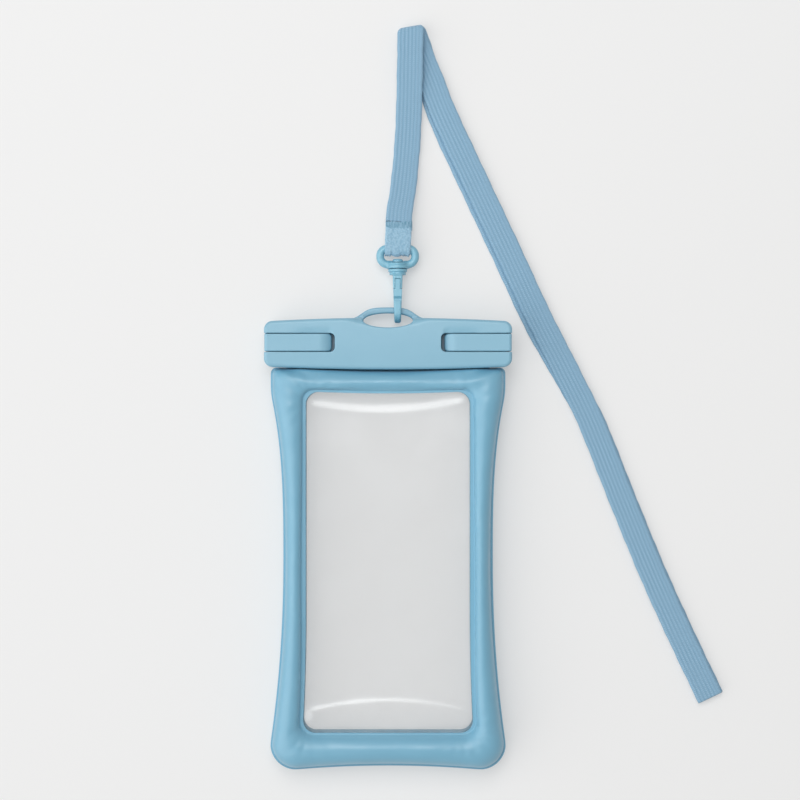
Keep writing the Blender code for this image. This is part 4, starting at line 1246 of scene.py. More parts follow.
    def build(self) -> list[Piece]:
        """Make both bars.

        Returns:
            The pieces, riding on the case.
        """
        made = []
        for node, field_of in (("front_bar", self.front_field), ("back_bar", self.back_field)):
            mesh = moulding(f"{node}_skin", field_of, *corners_of(node), self.pitch)
            # painted shade in the channels, stored as the 'depth' value
            tone(mesh, "depth", self.painted_recess_shade(*points_of(mesh).T))
            made.append(stand_in(f"{node}_skin", mesh, self.finish, "case", node))
        return made


@dataclass
class AirFrame:
    """Inflated frame: two shells welded round the rim, with flat flanges at the windows."""

    finish: Material
    window_half: float = 38.5 * MM
    window_flare: float = 1.2 * MM
    window_flare_y: float = -35.0 * MM
    window_flare_run: float = 50.0 * MM
    window_radius: float = 5.9 * MM
    window_bow: float = 0.7 * MM
    film_lap: float = 2.1 * MM
    waist_half: float = 49.2 * MM
    waist_y: float = -10.0 * MM
    waist_bend: float = 2.1
    flare_bend: float = 3.0
    bottom_half: float = 55.3 * MM
    bottom_hollow: float = 1.9 * MM
    bottom_radius: float = 12.0 * MM
    top_half: float = 55.1 * MM
    top_radius: float = 2.6 * MM
    flare_below_bar: float = 12.7 * MM
    flange: float = 2.2 * MM
    flange_z: float = 5.6 * MM
    lip: float = 1.0 * MM
    rim: float = 1.2 * MM
    rim_half_z: float = 0.5 * MM
    crown_waist: float = 9.0 * MM
    crown_bottom: float = 10.0 * MM
    crown_top: float = 8.4 * MM
    crown_back: float = 10.0 * MM
    pocket_side: float = 3.5 * MM
    pocket_bottom: float = 3.0 * MM
    pocket_top: float = 2.7 * MM
    neck_half_x: float = 46.0 * MM
    neck_half_z: float = 0.6 * MM
    neck_below_top: float = 3.5 * MM
    slit: float = 0.3 * MM
    skin_points: int = 46
    counts: tuple[int, int, int, int, int] = (44, 44, 150, 26, 50)
    passes: tuple[int, int] = (3, 10)
    parted: float = 0.05 * MM
    bar_gap: float = 0.1 * MM
    turn_in: float = 0.1 * MM
    # strengths of the painted shade along the weld rim, under the bars and at the window's step
    rim_shade: float = 0.22
    neck_shade: float = 0.22
    step_shade: float = 0.26
    creases: list[tuple[float, float, int, float]] = field(default_factory=lambda: [
        (-36.0, 65.0, 13, 0.13), (36.5, 64.5, 11, 0.10),
        (-36.5, -88.0, 12, 0.08), (36.0, -88.5, 14, 0.10),
    ])

    @property
    def top_y(self) -> float:
        """Upper edge of the window."""
        return corners_of("front_window")[1].y - self.film_lap

    @property
    def bottom_y(self) -> float:
        """Lower edge of the window."""
        return corners_of("front_window")[0].y + self.film_lap

    @property
    def low_y(self) -> float:
        """Lower edge of the frame at its corners."""
        return corners_of("air_frame")[0].y

    def window_edge(self, y: Array) -> Array:
        """Half the window's width: straight, then a parabola wider below."""
        drop = np.clip((self.window_flare_y - y) / self.window_flare_run, 0, 1)
        return self.window_half + self.window_flare * drop**2

    def outer_edge(self, y: Array) -> Array:
        """Half the frame's width: powers of the distance from the waist.

        Args:
            y: place along the case.

        Returns:
            Half the width there.
        """
        down = (self.waist_y - y) / (self.waist_y - self.low_y - self.bottom_radius)
        up = (y - self.waist_y) / (PLAN.bottom_y - self.flare_below_bar - self.waist_y)
        below = (self.bottom_half - self.waist_half) * np.clip(down, 0, 1) ** self.waist_bend
        above = (self.top_half - self.waist_half) * np.clip(up, 0, 1) ** self.flare_bend
        return self.waist_half + below + above

    def right_half(self) -> tuple[Array, Array]:
        """Right half of the plan, from the bottom's middle round to the top's.

        Returns:
            Inner and outer points, each (stations, 2).
        """
        n_low, n_corner, n_side, n_top_corner, n_top = self.counts
        low_half = float(self.window_edge(np.array(self.bottom_y)))
        r = self.window_radius
        low_side, top_side = self.bottom_y + r, self.top_y - r
        outer_low = self.low_y + self.bottom_radius
        frame_top = PLAN.bottom_y - FIT - self.bar_gap
        outer_top = frame_top - self.top_radius
        low_in, top_in = low_half - r, self.window_half - r
        low_out, top_out = self.bottom_half - self.bottom_radius, self.top_half - self.top_radius
        s = np.linspace(0, 1, n_low, endpoint=False)
        inner = [np.stack([s * low_in, np.full(n_low, self.bottom_y)], 1)]
        lift = self.bottom_hollow * (1 - s**2)
        outer = [np.stack([s * low_out, self.low_y + lift], 1)]
        inner.append(arc((low_in, low_side), r, -90, 0, n_corner))
        outer.append(arc((low_out, outer_low), self.bottom_radius, -90, 0, n_corner))
        s = np.linspace(0, 1, n_side)[1:-1]
        y_in = low_side + s * (top_side - low_side)
        y_out = outer_low + s * (outer_top - outer_low)
        inner.append(np.stack([self.window_edge(y_in), y_in], 1))
        outer.append(np.stack([self.outer_edge(y_out), y_out], 1))
        inner.append(arc((top_in, top_side), r, 0, 90, n_top_corner))
        outer.append(arc((top_out, outer_top), self.top_radius, 0, 90, n_top_corner))
        s = np.linspace(1, 0, n_top)[1:]
        dip = 1 - s**2
        inner.append(np.stack([s * top_in, self.top_y - self.window_bow * dip], 1))
        outer.append(np.stack([s * top_out, frame_top - PLAN.bottom_crown * dip], 1))
        return np.vstack(inner), np.vstack(outer)

    def stations(self) -> tuple[Array, Array]:
        """Plan of the whole frame, softened along it.

        Returns:
            Inner and outer points, each (stations, 2).
        """
        inner, outer = self.right_half()
        mirror = np.array([-1.0, 1.0])
        loops = [np.vstack([p, (p * mirror)[-2:0:-1]]) for p in (inner, outer)]
        soft = []
        for loop, passes in zip(loops, self.passes):
            for _ in range(passes):
                loop = (np.roll(loop, 1, axis=0) + 2 * loop + np.roll(loop, -1, axis=0)) / 4
            soft.append(loop)
        return soft[0], soft[1]

    def crown(self, y: Array) -> Array:
        """Height of the front of the tube above the middle plane.

        Args:
            y: place along the case.

        Returns:
            Height: the waist's, eased to the bottom's below and to the top's at the bars.
        """
        low = ease((self.waist_y - y) / (self.waist_y - self.bottom_y))
        high = ease((y - PLAN.bottom_y + self.flare_below_bar) / self.flare_below_bar)
        return (
            self.crown_waist
            + (self.crown_bottom - self.crown_waist) * low
            + (self.crown_top - self.crown_waist) * high
        )

    def wall(self, start: Array, way: Array, top_limit: float) -> Array:
        """Distance from the window's edge, outward, to the pocket's rectangular wall.

        Args:
            start: points of the window's edge.
            way: outward directions there.
            top_limit: height of the pocket's upper wall.

        Returns:
            Distance at each point.
        """
        half = self.window_half + self.pocket_side
        low = self.bottom_y - self.pocket_bottom
        to_side = (half - np.abs(start[:, 0])) / np.maximum(np.abs(way[:, 0]), TINY)
        limit = np.where(way[:, 1] > 0, top_limit, low)
        steep = np.where(np.abs(way[:, 1]) > TINY, way[:, 1], TINY)
        to_end = (limit - start[:, 1]) / steep
        return np.minimum(to_side, np.where(to_end > 0, to_end, np.inf))

    def shell(self, which: Shell) -> Array:
        """Points of one shell.

        Each station's section is a closed loop: a B-spline over the flange, the tube and
        the rim, then straight lines along the middle plane and up the pocket's wall. At
        the top the rim runs on upward as one lip of the mouth. The spline's controls are
        pairs of a distance out from the window's edge and a height; level is 1 where the
        tube runs across the case, and lean is 1 under the bars, where the tube leans in.

        Args:
            which: front or back half.

        Returns:
            Array of (stations, loop points, 3).
        """
        inner, outer = self.stations()
        across = outer - inner
        width = np.linalg.norm(across, axis=1)
        way = across / width[:, None]
        top_edge = PLAN.bottom_y
        lean = ease((outer[:, 1] - top_edge + 3.2 * MM) / (2.4 * MM)) * ease(
            (self.top_half - self.top_radius + 1.5 * MM - np.abs(outer[:, 0])) / (14 * MM)
        )
        if which is Shell.FRONT:
            crown = self.crown(outer[:, 1])
        else:
            crown = np.full(len(inner), self.crown_back)
        tube = width - self.flange - self.rim
        rise = crown - self.flange_z
        level = ease((np.abs(way[:, 1]) - 0.55) / 0.4)
        flange_end = self.flange * (1 - 0.5 * level)
        slope_z = self.flange_z + (0.62 - 0.20 * level) * rise
        zero = np.zeros_like(width)
        flat = np.full_like(width, self.flange_z)
        rim_z = np.full_like(width, self.rim_half_z)
        controls = [
            (zero, flat),
            (zero + 0.3 * MM, flat),
            (flange_end - 0.5 * MM, flat),
            (flange_end, flat),
            (flange_end + (0.03 + 0.05 * level) * tube, slope_z),
            (self.flange + (0.17 + 0.03 * level) * tube, crown * (1.00 - 0.03 * level)),
            (self.flange + (0.46 - 0.02 * lean) * tube, crown * (1.08 - 0.07 * lean)),
            (self.flange + (0.84 - 0.06 * lean) * tube, crown * (0.86 - 0.08 * lean)),
            (self.flange + (1.0 + 0.02 * lean) * tube, crown * (0.40 + 0.28 * lean)),
            (width - self.rim * (1 - 0.75 * lean), rim_z + 4.4 * MM * lean),
            (width - self.rim * (0.6 - 0.45 * lean), rim_z + 2.2 * MM * lean),
            (width, rim_z),
        ]
        s = np.stack([c[0] for c in controls], 1)
        z = np.stack([c[1] for c in controls], 1)
        basis = spline_basis(len(controls), self.skin_points)
        s, z = s @ basis.T, z @ basis.T
        plan = inner[:, None, :] + way[:, None, :] * s[..., None]
        z = z + self.unevenness(plan, z)
        skin = np.concatenate([plan, z[..., None]], axis=2)

        neck = ease((self.neck_half_x + 1.2 * MM - np.abs(outer[:, 0])) / (1.2 * MM))
        neck = neck * (outer[:, 1] > top_edge - 4 * MM)
        reach = np.where(neck > 0, PLAN.top_y - self.neck_below_top - outer[:, 1], 0.0) * neck
        parted = self.parted + (self.slit / 2 - self.parted) * neck
        lip_z = self.rim_half_z + (self.neck_half_z - self.rim_half_z) * neck
        up = np.array([0.0, 1.0])
        wall_low = self.wall(inner, way, PLAN.bottom_y - PLAN.bottom_crown - FIT)
        wall_high = self.wall(inner, way, self.top_y + self.pocket_top)

        def row(base: Array, lift: Array, height: Array) -> Array:
            """One point of every station's loop: base moved up the plan by lift, at height."""
            return np.concatenate([base + up * lift[:, None], height[:, None]], axis=1)[:, None, :]

        inside = inner + way * wall_low[:, None]
        under = inner + way * wall_high[:, None]
        lip_under = np.full_like(width, self.flange_z - self.lip)
        rows = [row(outer, reach * k, lip_z) for k in (0.25, 0.5, 0.75, 0.98)]
        rows += [row(outer, reach, lip_z - self.turn_in), row(outer, reach, parted + self.turn_in)]
        rows += [row(outer, reach * k, parted) for k in (0.98, 0.5, 0.0)]
        rows += [row(outer + (inside - outer) * k, zero, parted) for k in (0.3, 0.7, 0.97)]
        rows += [
            row(inside, zero, parted + self.turn_in),
            row(inside + (under - inside) * 0.5, zero, (parted + lip_under) / 2),
            row(under, zero, lip_under - self.turn_in),
            row(under + (inner - under) * 0.06, zero, lip_under),
            row(under + (inner - under) * 0.94, zero, lip_under),
            row(inner, zero, lip_under + 0.15 * MM),
            row(inner, zero, flat - 0.15 * MM),
        ]
        loop = np.concatenate([skin, *rows], axis=1)
        loop[..., 2] = np.maximum(MID_Z + which.value * loop[..., 2], 0.0)
        return loop

    def depth(self, points: Array) -> Array:
        """Painted shade on the vinyl: along its weld rim where the tube turns away, under the bars
        and at the window's step.

        The sum of a smooth step over the last millimetres of the rim, one from the tube's
        crest up to the bars, and a narrow bell along the edge of the window's opening.

        Args:
            points: one shell's points, (stations, loop points, 3).

        Returns:
            Strength of the painted shade at each point, from 0 to 0.9.
        """
        x, y, z = (points[..., k] for k in range(3))
        inner, outer = self.stations()
        out = np.linalg.norm(points[..., :2] - outer[:, None, :], axis=-1)
        into = np.linalg.norm(points[..., :2] - inner[:, None, :], axis=-1)
        rim = ease((1.7 * MM - out) / (1.5 * MM)) * ease((3.5 * MM - np.abs(z - MID_Z)) / (3 * MM))
        neck = ease((y - self.top_y - 5.0 * MM) / (6.5 * MM))
        neck = neck * ease((53.5 * MM - np.abs(x)) / (9 * MM))
        step = 0.55 * hump(into - self.flange - 0.7 * MM, 0.9 * MM) + 0.5 * hump(into, 0.35 * MM)
        shade = self.rim_shade * rim + self.neck_shade * neck + self.step_shade * step
        return np.clip(shade, 0, 0.9)

    def unevenness(self, plan: Array, z: Array) -> Array:
        """Small heights that soft vinyl has: slow waves, creases at the window's corners.

        The creases are ridges that fan out from each window corner and fade over the
        tube: cos(folds * angle) * bell of the distance from the corner.

        Args:
            plan: points (stations, loop points, 2).
            z: their heights over the middle plane.

        Returns:
            What to add to the heights.
        """
        x, y = plan[..., 0], plan[..., 1]
        over = ease((z - self.flange_z * 0.9) / (2 * MM))
        waves = 0.10 * np.sin(x * 190 + y * 85 + 0.6) + 0.08 * np.sin(y * 160 - x * 60)
        waves += 0.05 * np.sin(y * 420 + np.sin(x * 210) * 1.4)
        total = waves * over
        for cx, cy, folds, size in self.creases:
            dx, dy = x - cx * MM, y - cy * MM
            far = np.hypot(dx, dy)
            angle = np.arctan2(dy, dx)
            out = ease((far - 6 * MM) / (3 * MM)) * hump(far - 9 * MM, 6 * MM)
            total += size * np.cos(folds * angle + 0.8 * np.sin(3 * angle)) * out * over
        return total * MM

    def build(self) -> Piece:
        """Make the frame from both shells in one mesh.

        Returns:
            The piece, riding on the case.
        """
        parts = [self.shell(which) for which in Shell]
        points, quads, depths, start = [], [], [], 0
        for which, part in zip(Shell, parts):
            rows, cols = part.shape[:2]
            faces = grid_faces(rows, cols, close_rows=True)[0]
            if which is Shell.BACK:
                faces = faces[:, ::-1]
            points.append(part.reshape(-1, 3))
            # painted shade of each shell, stored as the 'depth' value
            depths.append(self.depth(part).ravel())
            quads.append(faces + start)
            start += rows * cols
        mesh = fill_mesh("air_frame_skin", np.vstack(points), np.vstack(quads))
        tone(mesh, "depth", np.concatenate(depths))
        face_out(mesh)
        made = stand_in("air_frame_skin", mesh, self.finish, "case", "air_frame")
        return made


@dataclass
class Windows:
    """Front and back film, slack enough to catch curved lights near its ends."""

    finish: Material
    frame_part: AirFrame
    rows: int = 170
    cols: int = 84
    thick: float = 0.5 * MM
    rim_run: float = 5.0 * MM
    back_share: float = 0.35

    def relief(self, x: Array, y: Array, way: float) -> Array:
        """Height of the film's slack: two bowed ridges and slow waves, none at its rim.

        Args:
            x, y: coordinates.
            way: +1 for the front film, -1 for the back one, whose ridges are lower.

        Returns:
            What to add to the film's height.
        """
        a = self.frame_part
        half = a.window_edge(y)
        rim = ease((half - np.abs(x)) / self.rim_run)
        rim = rim * ease((a.top_y - y) / self.rim_run) * ease((y - a.bottom_y) / self.rim_run)
        low = y - (a.bottom_y + 13 * MM - 5.5 * MM * (x / half) ** 2)
        high = y - (a.top_y - 11 * MM + 4.5 * MM * ((x + 3 * MM) / half) ** 2)
        ridges = 0.80 * hump(low, 3.1 * MM) + 0.24 * hump(low + 7 * MM, 2.6 * MM)
        ridges += 0.40 * hump(high, 3.6 * MM) - 0.10 * hump(high - 7 * MM, 3.2 * MM)
        waves = 0.10 * np.sin(x * 120 + 1.0) * np.sin(y * 52) + 0.05 * np.sin(x * 60 - y * 95)
        return (ridges * (1.0 if way > 0 else self.back_share) + waves) * rim * MM * way

    def build(self) -> list[Piece]:
        """Make both films.

        Returns:
            The pieces, riding on the case.
        """
        made = []
        for node, way in (("front_window", 1.0), ("back_window", -1.0)):
            low, high = corners_of(node)
            radius = self.frame_part.window_radius + self.frame_part.film_lap
            y = np.linspace(low.y, high.y, self.rows)
            half = self.frame_part.window_edge(y) + self.frame_part.film_lap
            into = np.maximum(np.maximum(low.y + radius - y, y - high.y + radius), 0)
            half = half - radius + np.sqrt(np.maximum(radius**2 - into**2, 0))
            a = np.linspace(-1, 1, self.cols)
            x = half[:, None] * a[None, :]
            yy = np.broadcast_to(y[:, None], x.shape)
            lift = self.relief(x, yy, way)
            middle = middle_of(node, 2) + lift
            upper = np.stack([x, yy, middle + self.thick / 2], -1)
            lower = np.stack([x, yy, middle - self.thick / 2], -1)[:, ::-1]
            mesh = loft(f"{node}_film", np.concatenate([upper, lower], 1))
            made.append(stand_in(f"{node}_film", mesh, self.finish, "case", node))
        return made


@dataclass
class SwivelHook:
    """Swivel ring with its boss, snap hook and sprung gate."""

    finish: Material
    x: float = 4.5 * MM
    boss_r: float = 4.85 * MM
    boss_length: float = 2.7 * MM
    ring_wire: float = 1.85 * MM
    ring_into_boss: float = 1.9 * MM
    ring_height: float = 7.55 * MM
    ring_corner: float = 3.4 * MM
    ring_low_corner: float = 4.2 * MM
    stem_r: float = 1.7 * MM
    head_r: float = 2.5 * MM
    head_length: float = 1.4 * MM
    collar_r: float = 4.45 * MM
    collar_length: float = 2.7 * MM
    collar_step: float = 0.6 * MM
    length: float = 25.7 * MM
    outer: float = 4.8 * MM
    thick: float = 2.5 * MM
    half_x_top: float = 2.35 * MM
    half_x_bottom: float = 1.55 * MM
    shoulder: float = 3.0 * MM
    nose_rise: float = 10.2 * MM
    nose_lip: float = 0.8 * MM
    nose_step: float = 1.3 * MM
    gate_recess: float = 2.4 * MM
    pivot_rise: float = 18.8 * MM
    pivot_z: float = 2.9 * MM
    eye_r: float = 1.5 * MM
    eye_face_r: float = 1.78 * MM
    cheek_drop: float = 2.8 * MM
    eye_half_x: float = 1.0 * MM
    pin_r: float = 0.6 * MM
    tail: float = 0.7 * MM
    tail_reach: float = 1.8 * MM
    tail_room: float = 2.7 * MM
    slot_drop: float = 4.5 * MM
    slot_edge: float = 0.12 * MM
    boss_edge: float = 0.5 * MM
    boss_blend: float = 1.1 * MM
    groove_at: float = 0.62
    groove_r: float = 0.28 * MM
    groove_edge: float = 0.15 * MM
    bore_edge: float = 0.1 * MM
    shank_edge: float = 0.85 * MM
    collar_blend: float = 0.5 * MM
    collar_low: float = 0.45
    gate_edge: float = 0.2 * MM

    @property
    def z(self) -> float:
        """Height of the swivel's axis."""
        return middle_of("swivel_ring", 2)

    @property
    def bottom(self) -> float:
        """Lowest point of the bend."""
        return corners_of("hook_body")[0].y

    @property
    def boss_low(self) -> float:
        """Lower face of the ring's boss."""
        return self.bottom + self.length

    @property
    def ring_top(self) -> float:
        """Middle of the ring's far bar."""
        return self.boss_low + self.ring_into_boss + self.ring_height

    @property
    def inner(self) -> float:
        """Inner radius of the bend."""
        return self.outer - self.thick

    @property
    def pivot_y(self) -> float:
        """Place of the gate's pin along the hook."""
        return self.bottom + self.pivot_rise

    @property
    def tip_y(self) -> float:
        """End of the nose."""
        return self.bottom + self.nose_rise

    def pin_hole(self, y: Array, z: Array) -> Array:
        """Distance to the hole for the gate's pin."""
        return np.hypot(y - self.pivot_y, z - self.z - self.pivot_z) - self.pin_r - FIT

    def half_x(self, y: Array) -> Array:
        """Half the hook's width: a straight taper toward the bend."""
        share = np.clip((y - self.bottom) / (self.length - self.collar_length), 0, 1)
        return self.half_x_bottom + (self.half_x_top - self.half_x_bottom) * share

    def around(self, x: Array, z: Array) -> Array:
        """Distance from the swivel's axis."""
        return np.hypot(x - self.x, z - self.z)

    def ring_field(self, x: Array, y: Array, z: Array) -> Array:
        """Round bar along a rounded rectangle, blended into a turned boss with a bore.

        Args:
            x, y, z: coordinates.

        Returns:
            Distance, negative in the ring.
        """
        low, top = self.boss_low + self.ring_into_boss, self.ring_top
        left, right = corners_of("swivel_ring")
        half_x, half_y = (right.x - left.x) / 2 - self.ring_wire, (top - low) / 2
        middle = (low + top) / 2
        upper = ease((y - middle) / (2 * MM) + 0.5)
        corner = self.ring_low_corner + (self.ring_corner - self.ring_low_corner) * upper
        line = box_distance(x - self.x, y - middle, half_x, half_y, np.minimum(corner, half_y))
        ring = np.hypot(line, z - self.z) - self.ring_wire
        boss_top = self.boss_low + self.boss_length
        r = self.around(x, z)
        ends = np.maximum(self.boss_low - y, y - boss_top)
        boss = round_max(r - self.boss_r, ends, self.boss_edge)
        groove_y = y - self.boss_low - self.groove_at * self.boss_length
        groove = np.hypot(r - self.boss_r, groove_y) - self.groove_r
        boss = round_max(boss, -groove, self.groove_edge)
        body = blend_min(ring, boss, self.boss_blend)
        bore = np.maximum(r - self.stem_r - FIT, y - boss_top - self.head_length)
        body = round_max(body, -bore, self.bore_edge)
        seat = np.maximum(r - self.head_r - FIT, boss_top - y)
        seat = np.maximum(seat, y - boss_top - self.head_length - 2 * FIT)
        return np.maximum(body, -seat)

    def hook_outline(self) -> Array:
        """Side of the hook: shank, bend and nose.

        Returns:
            Corners of a closed outline, (n, 2): y, and height over the axis.
        """
        inner = self.inner
        centre = self.bottom + self.outer
        top = self.boss_low - FIT - self.collar_length + self.collar_step
        pivot, tip = self.pivot_y, self.tip_y
        lip = self.outer - self.nose_lip
        block = pivot - self.cheek_drop
        outer_bend = arc((centre, 0), self.outer, 270, 90, 40)
        inner_bend = arc((centre, 0), inner, 90, 270, 28)
        start = [(top, -self.outer * 0.8), (top - self.shoulder, -self.outer)]
        step = tip - self.nose_step
        nose = [(tip, self.outer), (tip, lip), (step, lip), (step, inner)]
        end = [
            (block - 2.0 * MM, -inner),
            (block, -inner * 0.4),
            (block, self.outer - 0.2 * MM),
            (block + 0.2 * MM, self.outer),
            (top - 1.4 * MM, self.outer),
            (top, self.outer * 0.8),
        ]
        return np.vstack([start, outer_bend, nose, inner_bend, end])

    def gate_outline(self) -> Array:
        """Side of the gate: tongue, eye and spring tail.

        Returns:
            Corners of a closed outline, (n, 2): y, and height over the axis.
        """
        inner = self.inner
        pivot, tip = self.pivot_y, self.tip_y
        tongue_z = self.outer - self.nose_lip - FIT
        tongue_y = tip - self.nose_step + FIT
        face_y = pivot + self.eye_face_r + 0.17 * MM
        corner = [
            (face_y - 0.2 * MM, self.outer),
            (face_y, self.outer - 0.2 * MM),
            (face_y, self.pivot_z + 0.5 * MM),
        ]
        eye = np.vstack([corner, arc((pivot, self.pivot_z), self.eye_face_r, 8, -30, 8)])
        tail_y = pivot + 0.4 * MM
        tail_z = self.pivot_z - self.eye_r
        start = [
            (tongue_y, inner),
            (tongue_y, tongue_z),
            (tip + 1.2 * MM, tongue_z),
            (tip + self.gate_recess, self.outer),
            (pivot - 1.8 * MM, self.outer),
        ]
        end = [
            (tail_y + self.tail, tail_z - self.tail_reach),
            (tail_y, tail_z - self.tail_reach),
            (pivot - 1.0 * MM, tail_z + 0.2 * MM),
            (pivot - 3.2 * MM, inner),
        ]
        return np.vstack([start, eye, end])

    def body_field(self) -> Field:
        """Field of the hook with its collar, stem, head, gate slot and pin hole.

        Returns:
            The field, which works at any x, y and z.
        """
        outline = self.hook_outline()
        low = self.boss_low - FIT - self.collar_length
        head = self.boss_low + self.boss_length + FIT
        r, step = self.collar_r, self.collar_step
        ledge = low + self.collar_low * self.collar_length
        turned = np.array([
            (0, low), (r - step, low), (r - step, ledge),
            (r, ledge + step / 2), (r, self.boss_low - FIT),
            (self.stem_r, self.boss_low - FIT), (self.stem_r, head), (self.head_r, head),
            (self.head_r, head + self.head_length * 0.6),
            (self.head_r * 0.8, head + self.head_length), (0, head + self.head_length),
        ])
        pivot = self.pivot_y
        tail_end = self.pivot_z - self.eye_r - self.tail_reach

        def field_of(x: Array, y: Array, z: Array) -> Array:
            """Distance, negative in the hook."""
            off = np.abs(x - self.x)
            side = polygon_distance(y, z - self.z, outline)
            body = round_max(side, off - self.half_x(y), self.shank_edge)
            collar = polygon_distance(self.around(x, z), y, turned) - 0.02 * MM
            body = blend_min(body, collar, self.collar_blend)
            slot = np.maximum(off - self.eye_half_x - FIT, tail_end - 3 * FIT - (z - self.z))
            ends = np.maximum(pivot - self.slot_drop - y, y - pivot - self.tail_room)
            slot = np.maximum(slot, ends)
            over = z - self.z - self.pivot_z - 0.3 * MM
            roof = np.minimum(y - pivot - self.eye_face_r - FIT, over)
            slot = np.maximum(slot, roof)
            body = round_max(body, -slot, self.slot_edge)
            return np.maximum(body, -self.pin_hole(y, z))

        return field_of

    def gate_field(self) -> Field:
        """Field of the gate, narrow at its eye, full width along the opening.

        Returns:
            The field, which works at any x, y and z.
        """
        outline = self.gate_outline()

        def field_of(x: Array, y: Array, z: Array) -> Array:
            """Distance, negative in the gate."""
            side = polygon_distance(y, z - self.z, outline)
            lift = np.clip((z - self.z - self.inner) / self.thick, 0, 1)
            past = y - self.pivot_y + self.cheek_drop + 0.65 * MM - 0.52 * MM * lift
            off = np.abs(x - self.x)
            wide = round_max(off - self.half_x(y), past, 0.15 * MM)
            narrow = off - self.eye_half_x - 0.2 * MM
            body = round_max(side, np.minimum(wide, narrow), self.gate_edge)
            return np.maximum(body, -self.pin_hole(y, z))

        return field_of

    def build(self) -> list[Piece]:
        """Make the ring, the hook and the gate.

        Returns:
            The pieces, riding on the case, the hook and the gate.
        """
        made = []
        for node, body, field_of, pitch in (
            ("swivel_ring", "case", self.ring_field, 0.2 * MM),
            ("hook_body", "hook", self.body_field(), 0.19 * MM),
            ("hook_gate", "gate", self.gate_field(), 0.13 * MM),
        ):
            low, high = corners_of(node)
            mesh = moulding(f"{node}_skin", field_of, low, high + Vector((0, MM, 0)), pitch)
            made.append(stand_in(f"{node}_skin", mesh, self.finish, body, node))
        return made


